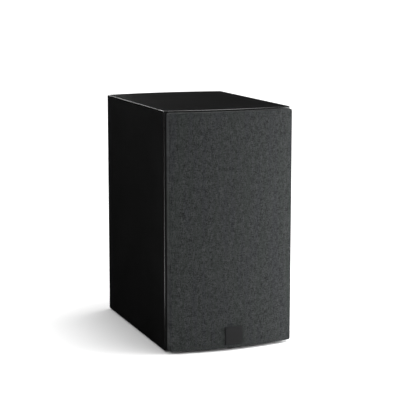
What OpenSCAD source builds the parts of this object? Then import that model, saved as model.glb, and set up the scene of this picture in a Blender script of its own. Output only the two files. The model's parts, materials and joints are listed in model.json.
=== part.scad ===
// Two-way bookshelf loudspeaker: bowed cabinet, pull-off cloth grille, woofer,
// dome tweeter, rear port, screw terminals and crossover.
// Millimetres. +Z is up, the front faces -Y, +X is right seen from the front.
// The origin is the middle of the whole speaker's footprint, on the shelf.

/* [Cabinet] */
// Width of the cabinet
cab_w = 195; // [190:1:230]
// Overall height, on its pads
total_h = 350; // [345:1:420]
// Depth of the cabinet's side, from front corner to rear corner
cab_d = 270; // [250:1:320]
// How far the front bows out in the middle
front_bow = 10; // [8:0.5:12]
// How far the back bows out in the middle
rear_bow = 12; // [10:0.5:14]
// Thickness of the side, top and bottom panels
wall_t = 15; // [12:1:18]
// Thickness of the front baffle at its edges
baffle_t = 18; // [16:1:22]
// Thickness of the rear panel at its edges
rear_t = 15; // [15:1:18]
// Chamfer on the cabinet's outer edges
edge_c = 1.4; // [0.6:0.1:2]
// Height of the stick-on rubber pads
pad_h = 1.5; // [1:0.1:3]
// Radius of the pads
pad_r = 9; // [6:0.5:12]

/* [Grille] */
// Width of the grille over its cloth
grille_w = 189; // [180:0.5:190]
// Gap between the grille's ends and the cabinet's top and bottom
grille_end = 2.5; // [1:0.5:5]
// How far the grille's side edges stand in front of the cabinet
grille_out = 14.5; // [13:0.5:18]
// How far the grille's face bows out in the middle
grille_bow = 10.5; // [9:0.5:12]
// Air gap between the grille and the baffle
grille_gap = 1.5; // [1:0.1:3]
// Thickness of the cloth
cloth_t = 0.8; // [0.4:0.1:1]
// Width of the frame's rails
rail_w = 13; // [12:0.5:16]
// Width of the badge
badge_w = 26; // [16:1:36]
// Height of the badge
badge_h = 25; // [16:1:36]
// Thickness of the badge
badge_t = 2; // [1:0.1:3]
// Height of the badge above the grille's lower edge
badge_up = 6; // [4:0.5:10]
// Radius of the grille's pegs
peg_r = 3; // [2.5:0.1:3.2]
// Radial clearance between peg and cup
peg_fit = 0.08; // [0.02:0.01:0.1]

/* [Woofer] */
// Height of the woofer's centre
woofer_z = 120; // [115:1:130]
// Outer radius of the woofer's flange
woofer_r = 84; // [80:0.5:84]
// Height of the half-roll surround
roll_r = 4.5; // [3:0.1:5]
// Outer radius of the cone
cone_r = 61.8; // [60:0.1:62]
// Depth of the cone
cone_h = 26; // [22:0.5:28]
// Radius of the voice coil's former
former_r = 16; // [14:0.5:17]
// Radius of the ferrite ring
magnet_r = 50; // [46:1:52]
// Thickness of the ferrite ring
magnet_t = 16; // [12:1:20]

/* [Tweeter] */
// Height of the tweeter's centre
tweeter_z = 270; // [265:1:280]
// Radius of the tweeter's faceplate
face_r = 52; // [50:0.5:54]
// Radius of the dome
dome_r = 13; // [12:0.5:13]
// Height of the dome
dome_h = 6; // [4:0.5:6]

/* [Back] */
// Height of the port's centre
port_z = 266; // [255:1:290]
// Inner radius of the port
port_r = 22.5; // [18:0.5:24]
// Length of the port
port_l = 120; // [90:5:140]
// Height of the terminal cup's centre
cup_z = 92; // [85:1:110]
// Width of the terminal cup's flange
cup_w = 100; // [96:1:110]
// Height of the terminal cup's flange
cup_h = 74; // [70:1:80]
// Depth of the terminal cup
cup_d = 22; // [20:0.5:23]
// Distance between the two binding posts
post_gap = 30; // [24:1:36]
// Radius of the socket for a 4 mm plug
socket_r = 2.02; // [2:0.01:2.1]
// Radial clearance between stud and knob
post_fit = 0.06; // [0.02:0.01:0.1]

/* [Crossover] */
// Width of the circuit board
board_w = 110; // [100:1:120]
// Depth of the circuit board
board_d = 84; // [76:1:90]
// Height of the board's spacers
spacer_h = 6; // [4:0.5:10]

/* [Hidden] */

$fn = 96;

// Cabinet planes. front_y and rear_y are the lines of the corner edges.
stack = badge_t + grille_out + grille_bow;
total_d = stack + cab_d + rear_bow;
front_y = stack - total_d / 2;
rear_y = front_y + cab_d;
inner_front = front_y + baffle_t;
inner_rear = rear_y - rear_t;
z_low = pad_h;
z_high = total_h;
half_w = cab_w / 2;
floor_z = z_low + wall_t;
front_r = bow_radius(half_w, front_bow);
rear_r = bow_radius(half_w, rear_bow);
front_apex = front_y - front_bow;
rear_apex = rear_y + rear_bow;
cut_reach = 2 * rear_bow;

// Grille
grille_low = z_low + grille_end;
grille_h = z_high - z_low - 2 * grille_end;
grille_apex = front_y - grille_out - grille_bow;
grille_r = bow_radius(grille_w / 2, grille_bow);
corner_r = 3;
peg_x = grille_w / 2 - cloth_t - rail_w / 2 - 1;
peg_rise = 12;
peg_z = [grille_low + peg_rise, grille_low + grille_h - peg_rise];
peg_l = 12;
cup_r = 5;
cup_l = 11;
peg_mouth = front_surface(peg_x + cup_r) + 0.1;
cross_rail_z = 211;
leg_r = 1;
leg_x = 8;
leg_z = grille_low + badge_up + 4;

// Woofer. Depths run back from the flange's front face.
trim_t = 2;
flange_t = 4;
gasket_t = 1;
woofer_y = front_surface(woofer_r) + trim_t;
basket_wall = 3;
basket_top_r = cone_r + 2 * roll_r + 1.4;
basket_low_r = 48;
ledge_depth = 30;
basket_depth = 40;
plate_depth = basket_depth + 3;
plate_t = 6;
plate_r = 46;
magnet_depth = plate_depth + plate_t;
back_depth = magnet_depth + magnet_t;
former_t = 0.4;
coil_t = 0.9;
gap_clear = 0.5;
pole_r = former_r - 0.6;
skin = 0.8;
land = 4.8;
cap_r = 22;
cap_h = 8;
woofer_screw_r = 79;
woofer_hole_r = 73;

// Tweeter. Depths run back from the faceplate's front face.
tweeter_y = front_surface(face_r);
face_t = 4;
throat_r = dome_r + 3.5;
throat_depth = 6;
flare_r = 34;
hub_depth = 8.4;
hub_r = 38;
tweeter_screw_r = 45;
tweeter_hole_r = 38.6;
small_roll = 1.5;
film = 0.4;
t_plate_t = 3.6;
t_magnet_t = 10;
t_magnet_r = 36;
t_plate_r = 32;
t_magnet_depth = hub_depth + t_plate_t;
t_back_depth = t_magnet_depth + t_magnet_t;
chamber_depth = t_back_depth + 4;
chamber_r = 30;
chamber_l = 18;

// Back
port_flange_r = 40;
port_flange_t = 3;
port_wall = 2.5;
port_flare = 8;
port_y = rear_surface(port_flange_r);
cup_y = rear_surface(cup_w / 2);
cup_flange_t = 3;
cup_wall = 2.5;
cup_in_w = 79;
cup_in_h = 49;
cup_floor = cup_y - cup_d;
stud_r = 4;
stud_out = 18.5;
stud_in = 12;
collar_t = 2;
collar_r = 6.5;
washer_t = 1.5;
joint_gap = 0.3;
knob_r = 7.5;
knob_from = collar_t + washer_t + 2 * joint_gap;
knob_l = 15;
nut_t = 4;
nut_r = 7;

// Crossover
board_z = floor_z + spacer_h;
board_t = 1.6;
board_y = 18;
board_top = board_z + board_t;
spacer_x = board_w / 2 - 6;
lead_r = 1.1;
braid_r = 0.6;
lead_sides = 8;
lead_steps = 2;

// Radius of an arc with the given half width and rise.
function bow_radius(half, rise) = (half * half + rise * rise) / (2 * rise);
// How far an arc of radius r has fallen back at a distance x from its middle.
function fall(x, r) = r - sqrt(r * r - x * x);
// Depth of the baffle's face and of the rear panel's face at a distance x.
function front_surface(x) = front_apex + fall(x, front_r);
function rear_surface(x) = rear_apex - fall(x, rear_r);

// Point at t on a smooth curve from p[i] to p[i + 1].
function at(p, i) = p[max(0, min(len(p) - 1, i))];
function spline(p, i, t) =
    0.5 * (2 * at(p, i) + (at(p, i + 1) - at(p, i - 1)) * t
    + (2 * at(p, i - 1) - 5 * at(p, i) + 4 * at(p, i + 1) - at(p, i + 2)) * t * t
    + (3 * at(p, i) - at(p, i - 1) - 3 * at(p, i + 1) + at(p, i + 2)) * t * t * t);
function route(p, n) = concat(
    [for (i = [0 : len(p) - 2]) for (j = [0 : n - 1]) spline(p, i, j / n)],
    [p[len(p) - 1]]);
function unit(v) = v / norm(v);
function heading(p, i) = unit(at(p, i + 1) - at(p, i - 1));

// Round lead along the points p, built as one closed mesh.
module lead(p, r, n) {
    path = route(p, n);
    count = len(path);
    rings = [for (i = [0 : count - 1])
        let (t = heading(path, i), u = unit(cross(t, [0.9, 0.1, 0.3])), v = cross(t, u))
        for (k = [0 : lead_sides - 1])
        let (a = 360 * k / lead_sides)
        path[i] + r * (cos(a) * u + sin(a) * v)];
    sides = [for (i = [0 : count - 2]) for (k = [0 : lead_sides - 1])
        let (k2 = (k + 1) % lead_sides, a = i * lead_sides, b = a + lead_sides)
        [a + k, a + k2, b + k2, b + k]];
    first = [for (k = [lead_sides - 1 : -1 : 0]) k];
    last = [for (k = [0 : lead_sides - 1]) (count - 1) * lead_sides + k];
    polyhedron(rings, concat(sides, [first, last]));
}

// Places children with their local +Z running back along +Y.
module facing_front(x, y, z) {
    translate([x, y, z]) rotate([-90, 0, 0]) children();
}

// Extrudes a shape drawn in X and Z along Y, from y0 to y1.
module along_y(y0, y1) {
    translate([0, y1, 0]) rotate([90, 0, 0]) linear_extrude(y1 - y0) children();
}

module rounded(w, h, r) {
    square([w - 2 * r, h], center = true);
    square([w, h - 2 * r], center = true);
    for (x = [-1, 1], z = [-1, 1])
        translate([x * (w / 2 - r), z * (h / 2 - r)]) circle(r);
}

module ring(inner, outer, t) {
    difference() {
        cylinder(h = t, r = outer);
        translate([0, 0, -1]) cylinder(h = t + 2, r = inner);
    }
}

// ---- cabinet ----

// The cabinet's outline seen from the front, chamfered at its four corners.
module cabinet_outline() {
    polygon([
        [-half_w, z_low + edge_c], [-half_w + edge_c, z_low],
        [half_w - edge_c, z_low], [half_w, z_low + edge_c],
        [half_w, z_high - edge_c], [half_w - edge_c, z_high],
        [-half_w + edge_c, z_high], [-half_w, z_high - edge_c]
    ]);
}

module side_panel(side) {
    mid = edge_c / 2;
    along_y(inner_front, inner_rear) polygon([for (p = [
        [half_w, z_low + edge_c], [half_w, z_high - edge_c],
        [half_w - mid, z_high - mid], [half_w - wall_t, z_high - wall_t],
        [half_w - wall_t, z_low + wall_t], [half_w - mid, z_low + mid]
    ]) [side * p[0], p[1]]]);
}

module flat_panel(z_out, up) {
    mid = edge_c / 2;
    along_y(inner_front, inner_rear) polygon([
        [-half_w + mid, z_out - up * mid], [-half_w + edge_c, z_out],
        [half_w - edge_c, z_out], [half_w - mid, z_out - up * mid],
        [half_w - wall_t, z_out - up * wall_t], [-half_w + wall_t, z_out - up * wall_t]
    ]);
}

module left_side_panel() { color([0.07, 0.07, 0.07]) side_panel(-1); }
module right_side_panel() { color([0.07, 0.07, 0.07]) side_panel(1); }
module top_panel() { color([0.1, 0.1, 0.1]) flat_panel(z_high, 1); }
module bottom_panel() {
    color([0.07, 0.07, 0.07]) difference() {
        flat_panel(z_low, -1);
        board_screw_places() cylinder(h = 14, r = 1.55);
    }
}

// Wood cut to the cabinet's outline with one bowed face, which looks along dir * Y.
// The plan's corners are cut back along lines that run on past the bow.
module bowed_slab(apex, r, flat_y, dir) {
    corner = apex - dir * (fall(half_w, r) + edge_c);
    beyond = corner + dir * cut_reach;
    intersection() {
        linear_extrude(z_high + 1) intersection() {
            translate([0, apex - dir * r]) circle(r, $fn = 360);
            polygon([
                [-half_w, flat_y], [half_w, flat_y], [half_w, corner],
                [half_w - cut_reach, beyond], [cut_reach - half_w, beyond],
                [-half_w, corner]
            ]);
        }
        along_y(min(apex, flat_y) - 1, max(apex, flat_y) + 1) cabinet_outline();
    }
}

module front_baffle() {
    color([0.08, 0.08, 0.08]) difference() {
        bowed_slab(front_apex, front_r, inner_front, -1);
        facing_front(0, front_apex - 1, woofer_z)
            cylinder(h = woofer_y + flange_t + gasket_t - front_apex + 1, r = woofer_r + 0.4);
        facing_front(0, front_apex - 1, woofer_z)
            cylinder(h = front_bow + baffle_t + 2, r = woofer_hole_r);
        facing_front(0, front_apex - 1, tweeter_z)
            cylinder(h = tweeter_y + face_t + gasket_t - front_apex + 1, r = face_r + 0.4);
        facing_front(0, front_apex - 1, tweeter_z)
            cylinder(h = front_bow + baffle_t + 2, r = tweeter_hole_r);
        for (x = [-1, 1], z = peg_z)
            facing_front(x * peg_x, front_apex - 1, z)
                cylinder(h = peg_mouth + cup_l - front_apex + 1, r = cup_r);
        woofer_screw_places() cylinder(h = 17, r = 1.95);
        tweeter_screw_places() cylinder(h = 17, r = 1.55);
    }
}

module rear_panel() {
    color([0.08, 0.08, 0.08]) difference() {
        bowed_slab(rear_apex, rear_r, inner_rear, 1);
        facing_front(0, port_y - port_flange_t, port_z)
            cylinder(h = 10, r = port_flange_r + 0.3);
        facing_front(0, inner_rear - 1, port_z)
            cylinder(h = rear_t + rear_bow + 2, r = port_r + port_wall + port_flare - 2);
        translate([0, 0, cup_z]) along_y(cup_y - cup_flange_t, rear_apex + 1)
            rounded(cup_w + 0.6, cup_h + 0.6, 6.3);
        translate([0, 0, cup_z]) along_y(inner_rear - 1, rear_apex + 1)
            rounded(cup_in_w + 2 * cup_wall + 1, cup_in_h + 2 * cup_wall + 1, 6);
        cup_screw_places() cylinder(h = 14, r = 1.55);
    }
}

// Shelf brace with two windows, glued across the middle of the cabinet.
module window_brace() {
    w = cab_w - 2 * wall_t;
    l = inner_rear - inner_front;
    bar = 20;
    window_l = (l - 3 * bar) / 2;
    color([0.45, 0.33, 0.2]) translate([0, inner_front, cross_rail_z - 6])
        linear_extrude(12) difference() {
            translate([-w / 2, 0]) square([w, l]);
            for (i = [0, 1])
                translate([0, bar + window_l / 2 + i * (window_l + bar)])
                    rounded(w - 2 * bar, window_l, 8);
        }
}

module foot_pads() {
    inset = 22;
    color([0.05, 0.05, 0.05]) for (x = [-1, 1], y = [front_y + inset, rear_y - inset])
        translate([x * (half_w - inset), y, 0]) cylinder(h = pad_h, r = pad_r);
}

// Foam sheets glued to one side wall, one above and one below the brace.
module side_foam(side) {
    t = 12;
    x0 = side > 0 ? half_w - wall_t - t : -half_w + wall_t;
    color([0.25, 0.25, 0.27]) {
        translate([x0, inner_front + 20, floor_z + 14]) cube([t, 195, 166]);
        translate([x0, inner_front + 20, cross_rail_z + 10]) cube([t, 195, 100]);
    }
}
module foam_left() { side_foam(-1); }
module foam_right() { side_foam(1); }

module peg_cups() {
    color([0.12, 0.12, 0.12]) for (x = [-1, 1], z = peg_z)
        facing_front(x * peg_x, peg_mouth, z) difference() {
            cylinder(h = cup_l, r = cup_r);
            translate([0, 0, -1]) cylinder(h = cup_l, r = peg_r + peg_fit);
        }
}

// ---- grille ----

// Grille seen from the front, drawn about its own middle.
module grille_outline(inset) {
    translate([0, grille_low + grille_h / 2])
        rounded(grille_w - 2 * inset, grille_h - 2 * inset, corner_r - inset * 0.8);
}

// Upright slab between the grille's bowed face, set back by inset, and its back.
module grille_slab(inset) {
    linear_extrude(z_high) difference() {
        intersection() {
            translate([0, grille_apex + grille_r])
                circle(grille_r - inset, $fn = 360);
            translate([-half_w, grille_apex - 1]) square([cab_w, 40]);
        }
        translate([0, front_apex + front_r])
            circle(front_r + grille_gap, $fn = 360);
    }
}

module badge_legs(r, y0, y1) {
    for (x = [-1, 1]) facing_front(x * leg_x, y0, leg_z) cylinder(h = y1 - y0, r = r);
}

module grille_frame() {
    in_w = grille_w - 2 * cloth_t - 2 * rail_w;
    color([0.1, 0.1, 0.1]) difference() {
        intersection() {
            grille_slab(cloth_t);
            along_y(grille_apex - 1, front_y) difference() {
                grille_outline(cloth_t);
                grille_window(in_w, grille_low + cloth_t + rail_w, cross_rail_z - 5);
                grille_window(in_w, cross_rail_z + 5,
                    grille_low + grille_h - cloth_t - rail_w);
            }
        }
        for (x = [-1, 1], z = peg_z)
            facing_front(x * peg_x, peg_mouth - 9, z) cylinder(h = 20, r = peg_r);
        badge_legs(leg_r, grille_apex, grille_apex + 6);
    }
}

module grille_window(w, z0, z1) {
    translate([0, (z0 + z1) / 2]) rounded(w, z1 - z0, 8);
}

// Knitted cloth pulled over the frame's face and sides.
module grille_cloth() {
    color([0.24, 0.24, 0.24]) difference() {
        intersection() {
            grille_slab(0);
            along_y(grille_apex - 1, front_y) grille_outline(0);
        }
        intersection() {
            translate([0, grille_apex + grille_r, 0])
                cylinder(h = z_high + 1, r = grille_r - cloth_t, $fn = 360);
            along_y(grille_apex - 1, front_y + 1) grille_outline(cloth_t);
        }
        badge_legs(leg_r, grille_apex - 1, grille_apex + 6);
    }
}

module grille_pegs() {
    color([0.1, 0.1, 0.1]) for (x = [-1, 1], z = peg_z)
        facing_front(x * peg_x, peg_mouth - 9, z) {
            cylinder(h = 9 + 7, r = peg_r);
            translate([0, 0, 9 + 7]) cylinder(h = 2, r1 = peg_r, r2 = peg_r - 1);
        }
}

module grille_badge() {
    z0 = grille_low + badge_up;
    color([0.18, 0.18, 0.18]) {
        difference() {
            translate([-badge_w / 2, grille_apex - badge_t, z0])
                cube([badge_w, badge_t + 0.5, badge_h]);
            translate([0, grille_apex + grille_r, 0])
                cylinder(h = z_high, r = grille_r, $fn = 360);
        }
        badge_legs(leg_r, grille_apex, grille_apex + 5);
    }
}

// ---- woofer ----

module woofer_place() { facing_front(0, woofer_y, woofer_z) children(); }

module woofer_screw_places() {
    for (a = [30 : 60 : 330])
        translate([0, woofer_y, woofer_z]) rotate([0, a, 0])
            facing_front(woofer_screw_r, 0, 0) children();
}

// Half of the basket's cross-section: flange, sloping wall, spider ledge, rear ring.
module basket_section() {
    translate([basket_top_r - basket_wall, 0])
        square([woofer_r - basket_top_r + basket_wall, flange_t]);
    polygon([
        [basket_top_r, 0], [basket_top_r, 7], [basket_low_r, basket_depth],
        [basket_low_r - basket_wall, basket_depth],
        [basket_top_r - basket_wall, 7], [basket_top_r - basket_wall, 0]
    ]);
    translate([40, ledge_depth]) square([14, 3]);
    translate([former_r + 5, basket_depth]) square([basket_low_r - former_r - 5, 3]);
}

module woofer_basket() {
    color([0.2, 0.2, 0.21]) difference() {
        woofer_place() difference() {
            rotate_extrude() basket_section();
            for (a = [0 : 60 : 300])
                rotate(a) translate([45, -19, 9]) cube([35, 38, ledge_depth - 10]);
        }
        woofer_screw_places() translate([0, 0, -1]) cylinder(h = flange_t + 2, r = 2.2);
    }
}

module woofer_trim_ring() {
    color([0.12, 0.12, 0.12]) difference() {
        translate([0, -trim_t, 0]) woofer_place()
            ring(cone_r + 2 * roll_r - skin + land, woofer_r, trim_t);
        woofer_screw_places() translate([0, 0, -trim_t - 1])
            cylinder(h = trim_t + 2, r = 3.9);
    }
}

module woofer_screws() {
    color([0.1, 0.1, 0.1]) woofer_screw_places() {
        translate([0, 0, -1.8]) difference() {
            cylinder(h = 1.8, r = 3.8);
            translate([0, 0, -1]) cylinder(h = 2.2, r = 1.6, $fn = 6);
        }
        cylinder(h = 16, r = 1.9);
    }
}

module woofer_magnet() {
    color([0.22, 0.2, 0.2]) woofer_place() translate([0, 0, magnet_depth])
        ring(former_r + 8, magnet_r, magnet_t);
}

module woofer_top_plate() {
    color([0.6, 0.6, 0.6]) woofer_place() translate([0, 0, plate_depth])
        ring(former_r + coil_t + gap_clear + 0.2, plate_r, plate_t);
}

module woofer_back_plate() {
    color([0.6, 0.6, 0.6]) woofer_place() difference() {
        union() {
            translate([0, 0, back_depth]) cylinder(h = plate_t, r = plate_r);
            translate([0, 0, plate_depth - 1])
                cylinder(h = back_depth - plate_depth + 2, r = pole_r);
        }
        translate([0, 0, plate_depth - 2]) cylinder(h = 60, r = 5);
    }
}

// Half-roll edge with a flat land on each side. mid is the roll's centre radius.
module roll_section(mid, r, t, inner_land, outer_land) {
    intersection() {
        difference() {
            translate([mid, 0]) circle(r);
            translate([mid, 0]) circle(r - t);
        }
        translate([mid - r - 1, -r - 1]) square([2 * r + 2, r + 1]);
    }
    translate([mid - r - inner_land + t, -t]) square([inner_land, t]);
    translate([mid + r - t, -t]) square([outer_land, t]);
}

module woofer_surround() {
    color([0.06, 0.06, 0.06]) woofer_place() rotate_extrude()
        roll_section(cone_r - skin + roll_r, roll_r, skin, land, land);
}

// Corrugated cloth disc that centres the coil.
module woofer_spider() {
    waves = 4;
    inner = former_r + former_t + 0.8;
    outer = 40;
    steps = waves * 6;
    line = [for (i = [0 : steps])
        [inner + (outer - inner) * i / steps, 1.4 * sin(360 * waves * i / steps)]];
    color([0.75, 0.6, 0.35]) woofer_place() translate([0, 0, ledge_depth - 0.7])
        rotate_extrude() {
            polygon(concat([for (p = line) p], [for (i = [steps : -1 : 0])
                line[i] + [0, 0.7]]));
            translate([former_r + former_t, 0]) square([0.9, 0.7]);
            translate([outer - 0.1, 0]) square([4, 0.7]);
        }
}

module woofer_cone() {
    lip = cone_r - land;
    neck = former_r + former_t;
    color([0.1, 0.1, 0.11]) woofer_place() rotate_extrude() polygon([
        [cone_r, 0], [cone_r, skin], [lip + 0.4, skin],
        [neck, cone_h + skin], [neck, cone_h - 0.2], [lip - 0.4, 0]
    ]);
}

// Shell of a shallow dome that rises towards the front from the depth base.
module dome_shell(r, h, t, base) {
    ball = bow_radius(r, h);
    translate([0, base]) intersection() {
        difference() {
            translate([0, ball - h]) circle(ball);
            translate([0, ball - h]) circle(ball - t);
        }
        translate([0, -h - 1]) square([r, h + 1]);
    }
}

module woofer_dust_cap() {
    slope = cone_h / (cone_r - land - former_r);
    base = cone_h - (cap_r - former_r) * slope - 0.6;
    color([0.1, 0.1, 0.11]) woofer_place() rotate_extrude()
        dome_shell(cap_r, cap_h, skin, base);
}

module woofer_former() {
    color([0.75, 0.7, 0.55]) woofer_place() translate([0, 0, cone_h - 2])
        ring(former_r, former_r + former_t, 31);
}

module woofer_coil() {
    color([0.72, 0.42, 0.2]) woofer_place() translate([0, 0, plate_depth - 3])
        ring(former_r + former_t, former_r + former_t + coil_t - 0.1, plate_t + 6);
}

// Two tinsel braids from the back of the cone to the tag board.
module woofer_braids() {
    color([0.6, 0.42, 0.25]) for (x = [-1, 1])
        lead([
            [x * 12, woofer_y + 12.9, woofer_z + 37], [x * 12.6, woofer_y + 17, woofer_z + 38],
            [x * 16, woofer_y + 22, woofer_z + 43], [x * 21, woofer_y + 25, woofer_z + 50],
            [x * 24, woofer_y + 29, woofer_z + 58], [x * 21, woofer_y + 38, woofer_z + 61],
            [x * 14, woofer_y + 45, woofer_z + 58], [x * 9, woofer_y + 47, woofer_z + 56.6]
        ], braid_r, lead_steps);
}

// ---- tweeter ----

module tweeter_place() { facing_front(0, tweeter_y, tweeter_z) children(); }

module tweeter_screw_places() {
    for (a = [45 : 90 : 315])
        translate([0, tweeter_y, tweeter_z]) rotate([0, a, 0])
            facing_front(tweeter_screw_r, 0, 0) children();
}

module tweeter_faceplate() {
    run = flare_r - throat_r;
    flare = (run * run + throat_depth * throat_depth) / (2 * throat_depth);
    color([0.1, 0.1, 0.1]) difference() {
        tweeter_place() rotate_extrude() {
            intersection() {
                translate([throat_r, 0]) square([run, hub_depth - film]);
                translate([flare_r, flare]) circle(flare);
            }
            translate([flare_r, 0]) square([face_r - flare_r, face_t]);
            translate([throat_r + 3.5, face_t])
                square([hub_r - throat_r - 3.5, hub_depth - face_t]);
        }
        tweeter_screw_places() translate([0, 0, -1]) cylinder(h = face_t + 2, r = 1.8);
        tweeter_screw_places() translate([0, 0, -1]) cylinder(h = 2.8, r = 3.2);
    }
}

module tweeter_screws() {
    color([0.1, 0.1, 0.1]) tweeter_screw_places() {
        difference() {
            cylinder(h = 1.8, r = 3);
            translate([0, 0, -1]) cylinder(h = 2.2, r = 1.2, $fn = 6);
        }
        cylinder(h = 16, r = 1.5);
    }
}

module tweeter_dome() {
    color([0.12, 0.12, 0.13]) tweeter_place() rotate_extrude()
        dome_shell(dome_r, dome_h, film, hub_depth - film);
}

module tweeter_surround() {
    color([0.1, 0.1, 0.11]) tweeter_place() translate([0, 0, hub_depth])
        rotate_extrude() roll_section(dome_r + small_roll, small_roll, film, film, 3);
}

module tweeter_coil() {
    color([0.72, 0.42, 0.2]) tweeter_place() translate([0, 0, hub_depth - film])
        ring(dome_r - 0.5, dome_r, 5);
}

module tweeter_top_plate() {
    color([0.6, 0.6, 0.6]) tweeter_place() translate([0, 0, hub_depth])
        ring(dome_r + 0.6, t_plate_r, t_plate_t);
}

module tweeter_magnet() {
    color([0.22, 0.2, 0.2]) tweeter_place() translate([0, 0, t_magnet_depth])
        ring(dome_r + 4, t_magnet_r, t_magnet_t);
}

module tweeter_back_plate() {
    color([0.6, 0.6, 0.6]) tweeter_place() difference() {
        union() {
            translate([0, 0, t_back_depth]) cylinder(h = 4, r = t_plate_r);
            translate([0, 0, hub_depth + 0.4])
                cylinder(h = t_back_depth - hub_depth, r = dome_r - 1);
        }
        cylinder(h = 60, r = 3);
    }
}

module tweeter_chamber() {
    color([0.12, 0.12, 0.12]) tweeter_place() translate([0, 0, chamber_depth])
        difference() {
            cylinder(h = chamber_l, r = chamber_r);
            translate([0, 0, -1]) cylinder(h = chamber_l - 1, r = chamber_r - 2);
        }
}

module driver_gaskets() {
    color([0.15, 0.15, 0.15]) difference() {
        union() {
            translate([0, flange_t, 0]) woofer_place()
                ring(woofer_hole_r, woofer_r, gasket_t);
            translate([0, face_t, 0]) tweeter_place()
                ring(tweeter_hole_r, face_r, gasket_t);
        }
        woofer_screw_places() cylinder(h = 8, r = 2.2);
        tweeter_screw_places() cylinder(h = 8, r = 1.8);
    }
}

// Solder-tag boards: one on the woofer's basket, one on the tweeter's rear plate.
module driver_tags() {
    color([0.7, 0.6, 0.4]) {
        difference() {
            woofer_place() translate([-12, -60, 33]) cube([24, 14, 9]);
            woofer_place() rotate_extrude() polygon([
                [0, 7], [basket_top_r, 7], [basket_low_r, basket_depth],
                [basket_low_r, plate_depth], [0, plate_depth]
            ]);
        }
        for (x = [-1, 1])
            woofer_place() translate([x * 6 - 2.4, -57, 42]) cube([4.8, 0.8, 9]);
        difference() {
            tweeter_place() translate([-9, 29, t_back_depth]) cube([18, 7, 3]);
            tweeter_place() cylinder(h = 60, r = t_plate_r);
        }
        for (x = [-1, 1])
            tweeter_place() translate([x * 5 - 1.4, 35, t_back_depth + 3])
                cube([2.8, 0.8, 7]);
    }
}

// ---- back ----

module port_tube() {
    mouth = port_r + port_flare;
    color([0.08, 0.08, 0.08]) translate([0, port_y, port_z]) rotate([90, 0, 0])
        rotate_extrude() {
            difference() {
                union() {
                    translate([port_r, 0]) square([port_flange_r - port_r, port_flange_t]);
                    translate([port_r, 0])
                        square([port_wall + port_flare - 3, port_flare + 2]);
                    translate([port_r, 0]) square([port_wall, port_l]);
                }
                difference() {
                    translate([port_r - 1, -1]) square([port_flare + 1, port_flare + 1]);
                    translate([mouth, port_flare]) circle(port_flare);
                }
            }
        }
}

module cup_screw_places() {
    for (x = [-1, 1], z = [-1, 1])
        translate([x * (cup_w / 2 - 6), cup_y, cup_z + z * (cup_h / 2 - 6)])
            rotate([90, 0, 0]) children();
}

module terminal_cup() {
    color([0.09, 0.09, 0.09]) difference() {
        translate([0, 0, cup_z]) difference() {
            union() {
                along_y(cup_y - cup_flange_t, cup_y) rounded(cup_w, cup_h, 6);
                along_y(cup_floor - cup_wall, cup_y)
                    rounded(cup_in_w + 2 * cup_wall, cup_in_h + 2 * cup_wall, 5.5);
            }
            along_y(cup_floor, cup_y + 1) rounded(cup_in_w, cup_in_h, 3);
        }
        for (x = [-1, 1])
            facing_front(x * post_gap / 2, cup_floor - 5, cup_z) cylinder(h = 8, r = stud_r);
        cup_screw_places() translate([0, 0, -1]) cylinder(h = 8, r = 1.8);
    }
}

// Small cross-head screws: four hold the terminal cup, four hold the circuit board.
module small_screw(shank) {
    translate([0, 0, -1.6]) difference() {
        cylinder(h = 1.6, r = 3);
        translate([0, 0, -1]) cylinder(h = 2, r = 1.2, $fn = 6);
    }
    cylinder(h = shank, r = 1.5);
}

module board_screw_places() {
    for (x = [-1, 1], y = [board_y + 6, board_y + board_d - 6])
        translate([x * spacer_x, y, board_top]) rotate([180, 0, 0]) children();
}

module small_screws() {
    color([0.1, 0.1, 0.1]) {
        cup_screw_places() small_screw(13);
        board_screw_places() small_screw(13);
    }
}

// Binding posts. Distances run out from the cup's floor.
module post_places() {
    for (x = [-1, 1]) translate([x * post_gap / 2, cup_floor, cup_z]) rotate([-90, 0, 0])
        children();
}

module post_studs() {
    color([0.8, 0.68, 0.35]) post_places() difference() {
        union() {
            translate([0, 0, -stud_in]) cylinder(h = stud_in + stud_out, r = stud_r);
            cylinder(h = collar_t, r = collar_r);
        }
        translate([0, 0, stud_out - 14]) cylinder(h = 20, r = socket_r);
        translate([0, 10, collar_t + 1.4 + 0.5]) rotate([90, 0, 0])
            cylinder(h = 20, r = 1.4);
    }
}

module post_nuts() {
    color([0.75, 0.72, 0.6]) post_places() translate([0, 0, -cup_wall - nut_t])
        difference() {
            cylinder(h = nut_t, r = nut_r, $fn = 6);
            translate([0, 0, -1]) cylinder(h = nut_t + 2, r = stud_r);
        }
}

module post_washer(side) {
    facing_front(side * post_gap / 2, cup_floor + collar_t + joint_gap, cup_z)
        ring(stud_r + post_fit, collar_r, washer_t);
}

// Screw-down knob with finger flutes, open at its end for a plug.
module post_knob(side) {
    facing_front(side * post_gap / 2, cup_floor + knob_from, cup_z) difference() {
        union() {
            cylinder(h = knob_l - 1, r = knob_r);
            translate([0, 0, knob_l - 1]) cylinder(h = 1, r1 = knob_r, r2 = knob_r - 1);
        }
        translate([0, 0, -1]) cylinder(h = knob_l + 2, r = stud_r + post_fit);
        for (a = [0 : 30 : 330])
            rotate(a) translate([knob_r + 0.6, 0, 3]) cylinder(h = knob_l, r = 1.2, $fn = 24);
    }
}

module red_washer() { color([0.8, 0.68, 0.35]) post_washer(-1); }
module black_washer() { color([0.8, 0.68, 0.35]) post_washer(1); }
module red_knob() { color([0.7, 0.08, 0.08]) post_knob(-1); }
module black_knob() { color([0.06, 0.06, 0.06]) post_knob(1); }

// ---- crossover ----

module crossover_board() {
    color([0.1, 0.3, 0.18]) difference() {
        translate([-board_w / 2, board_y, board_z]) cube([board_w, board_d, board_t]);
        board_screw_places() translate([0, 0, -1]) cylinder(h = 5, r = 1.7);
    }
}

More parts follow.
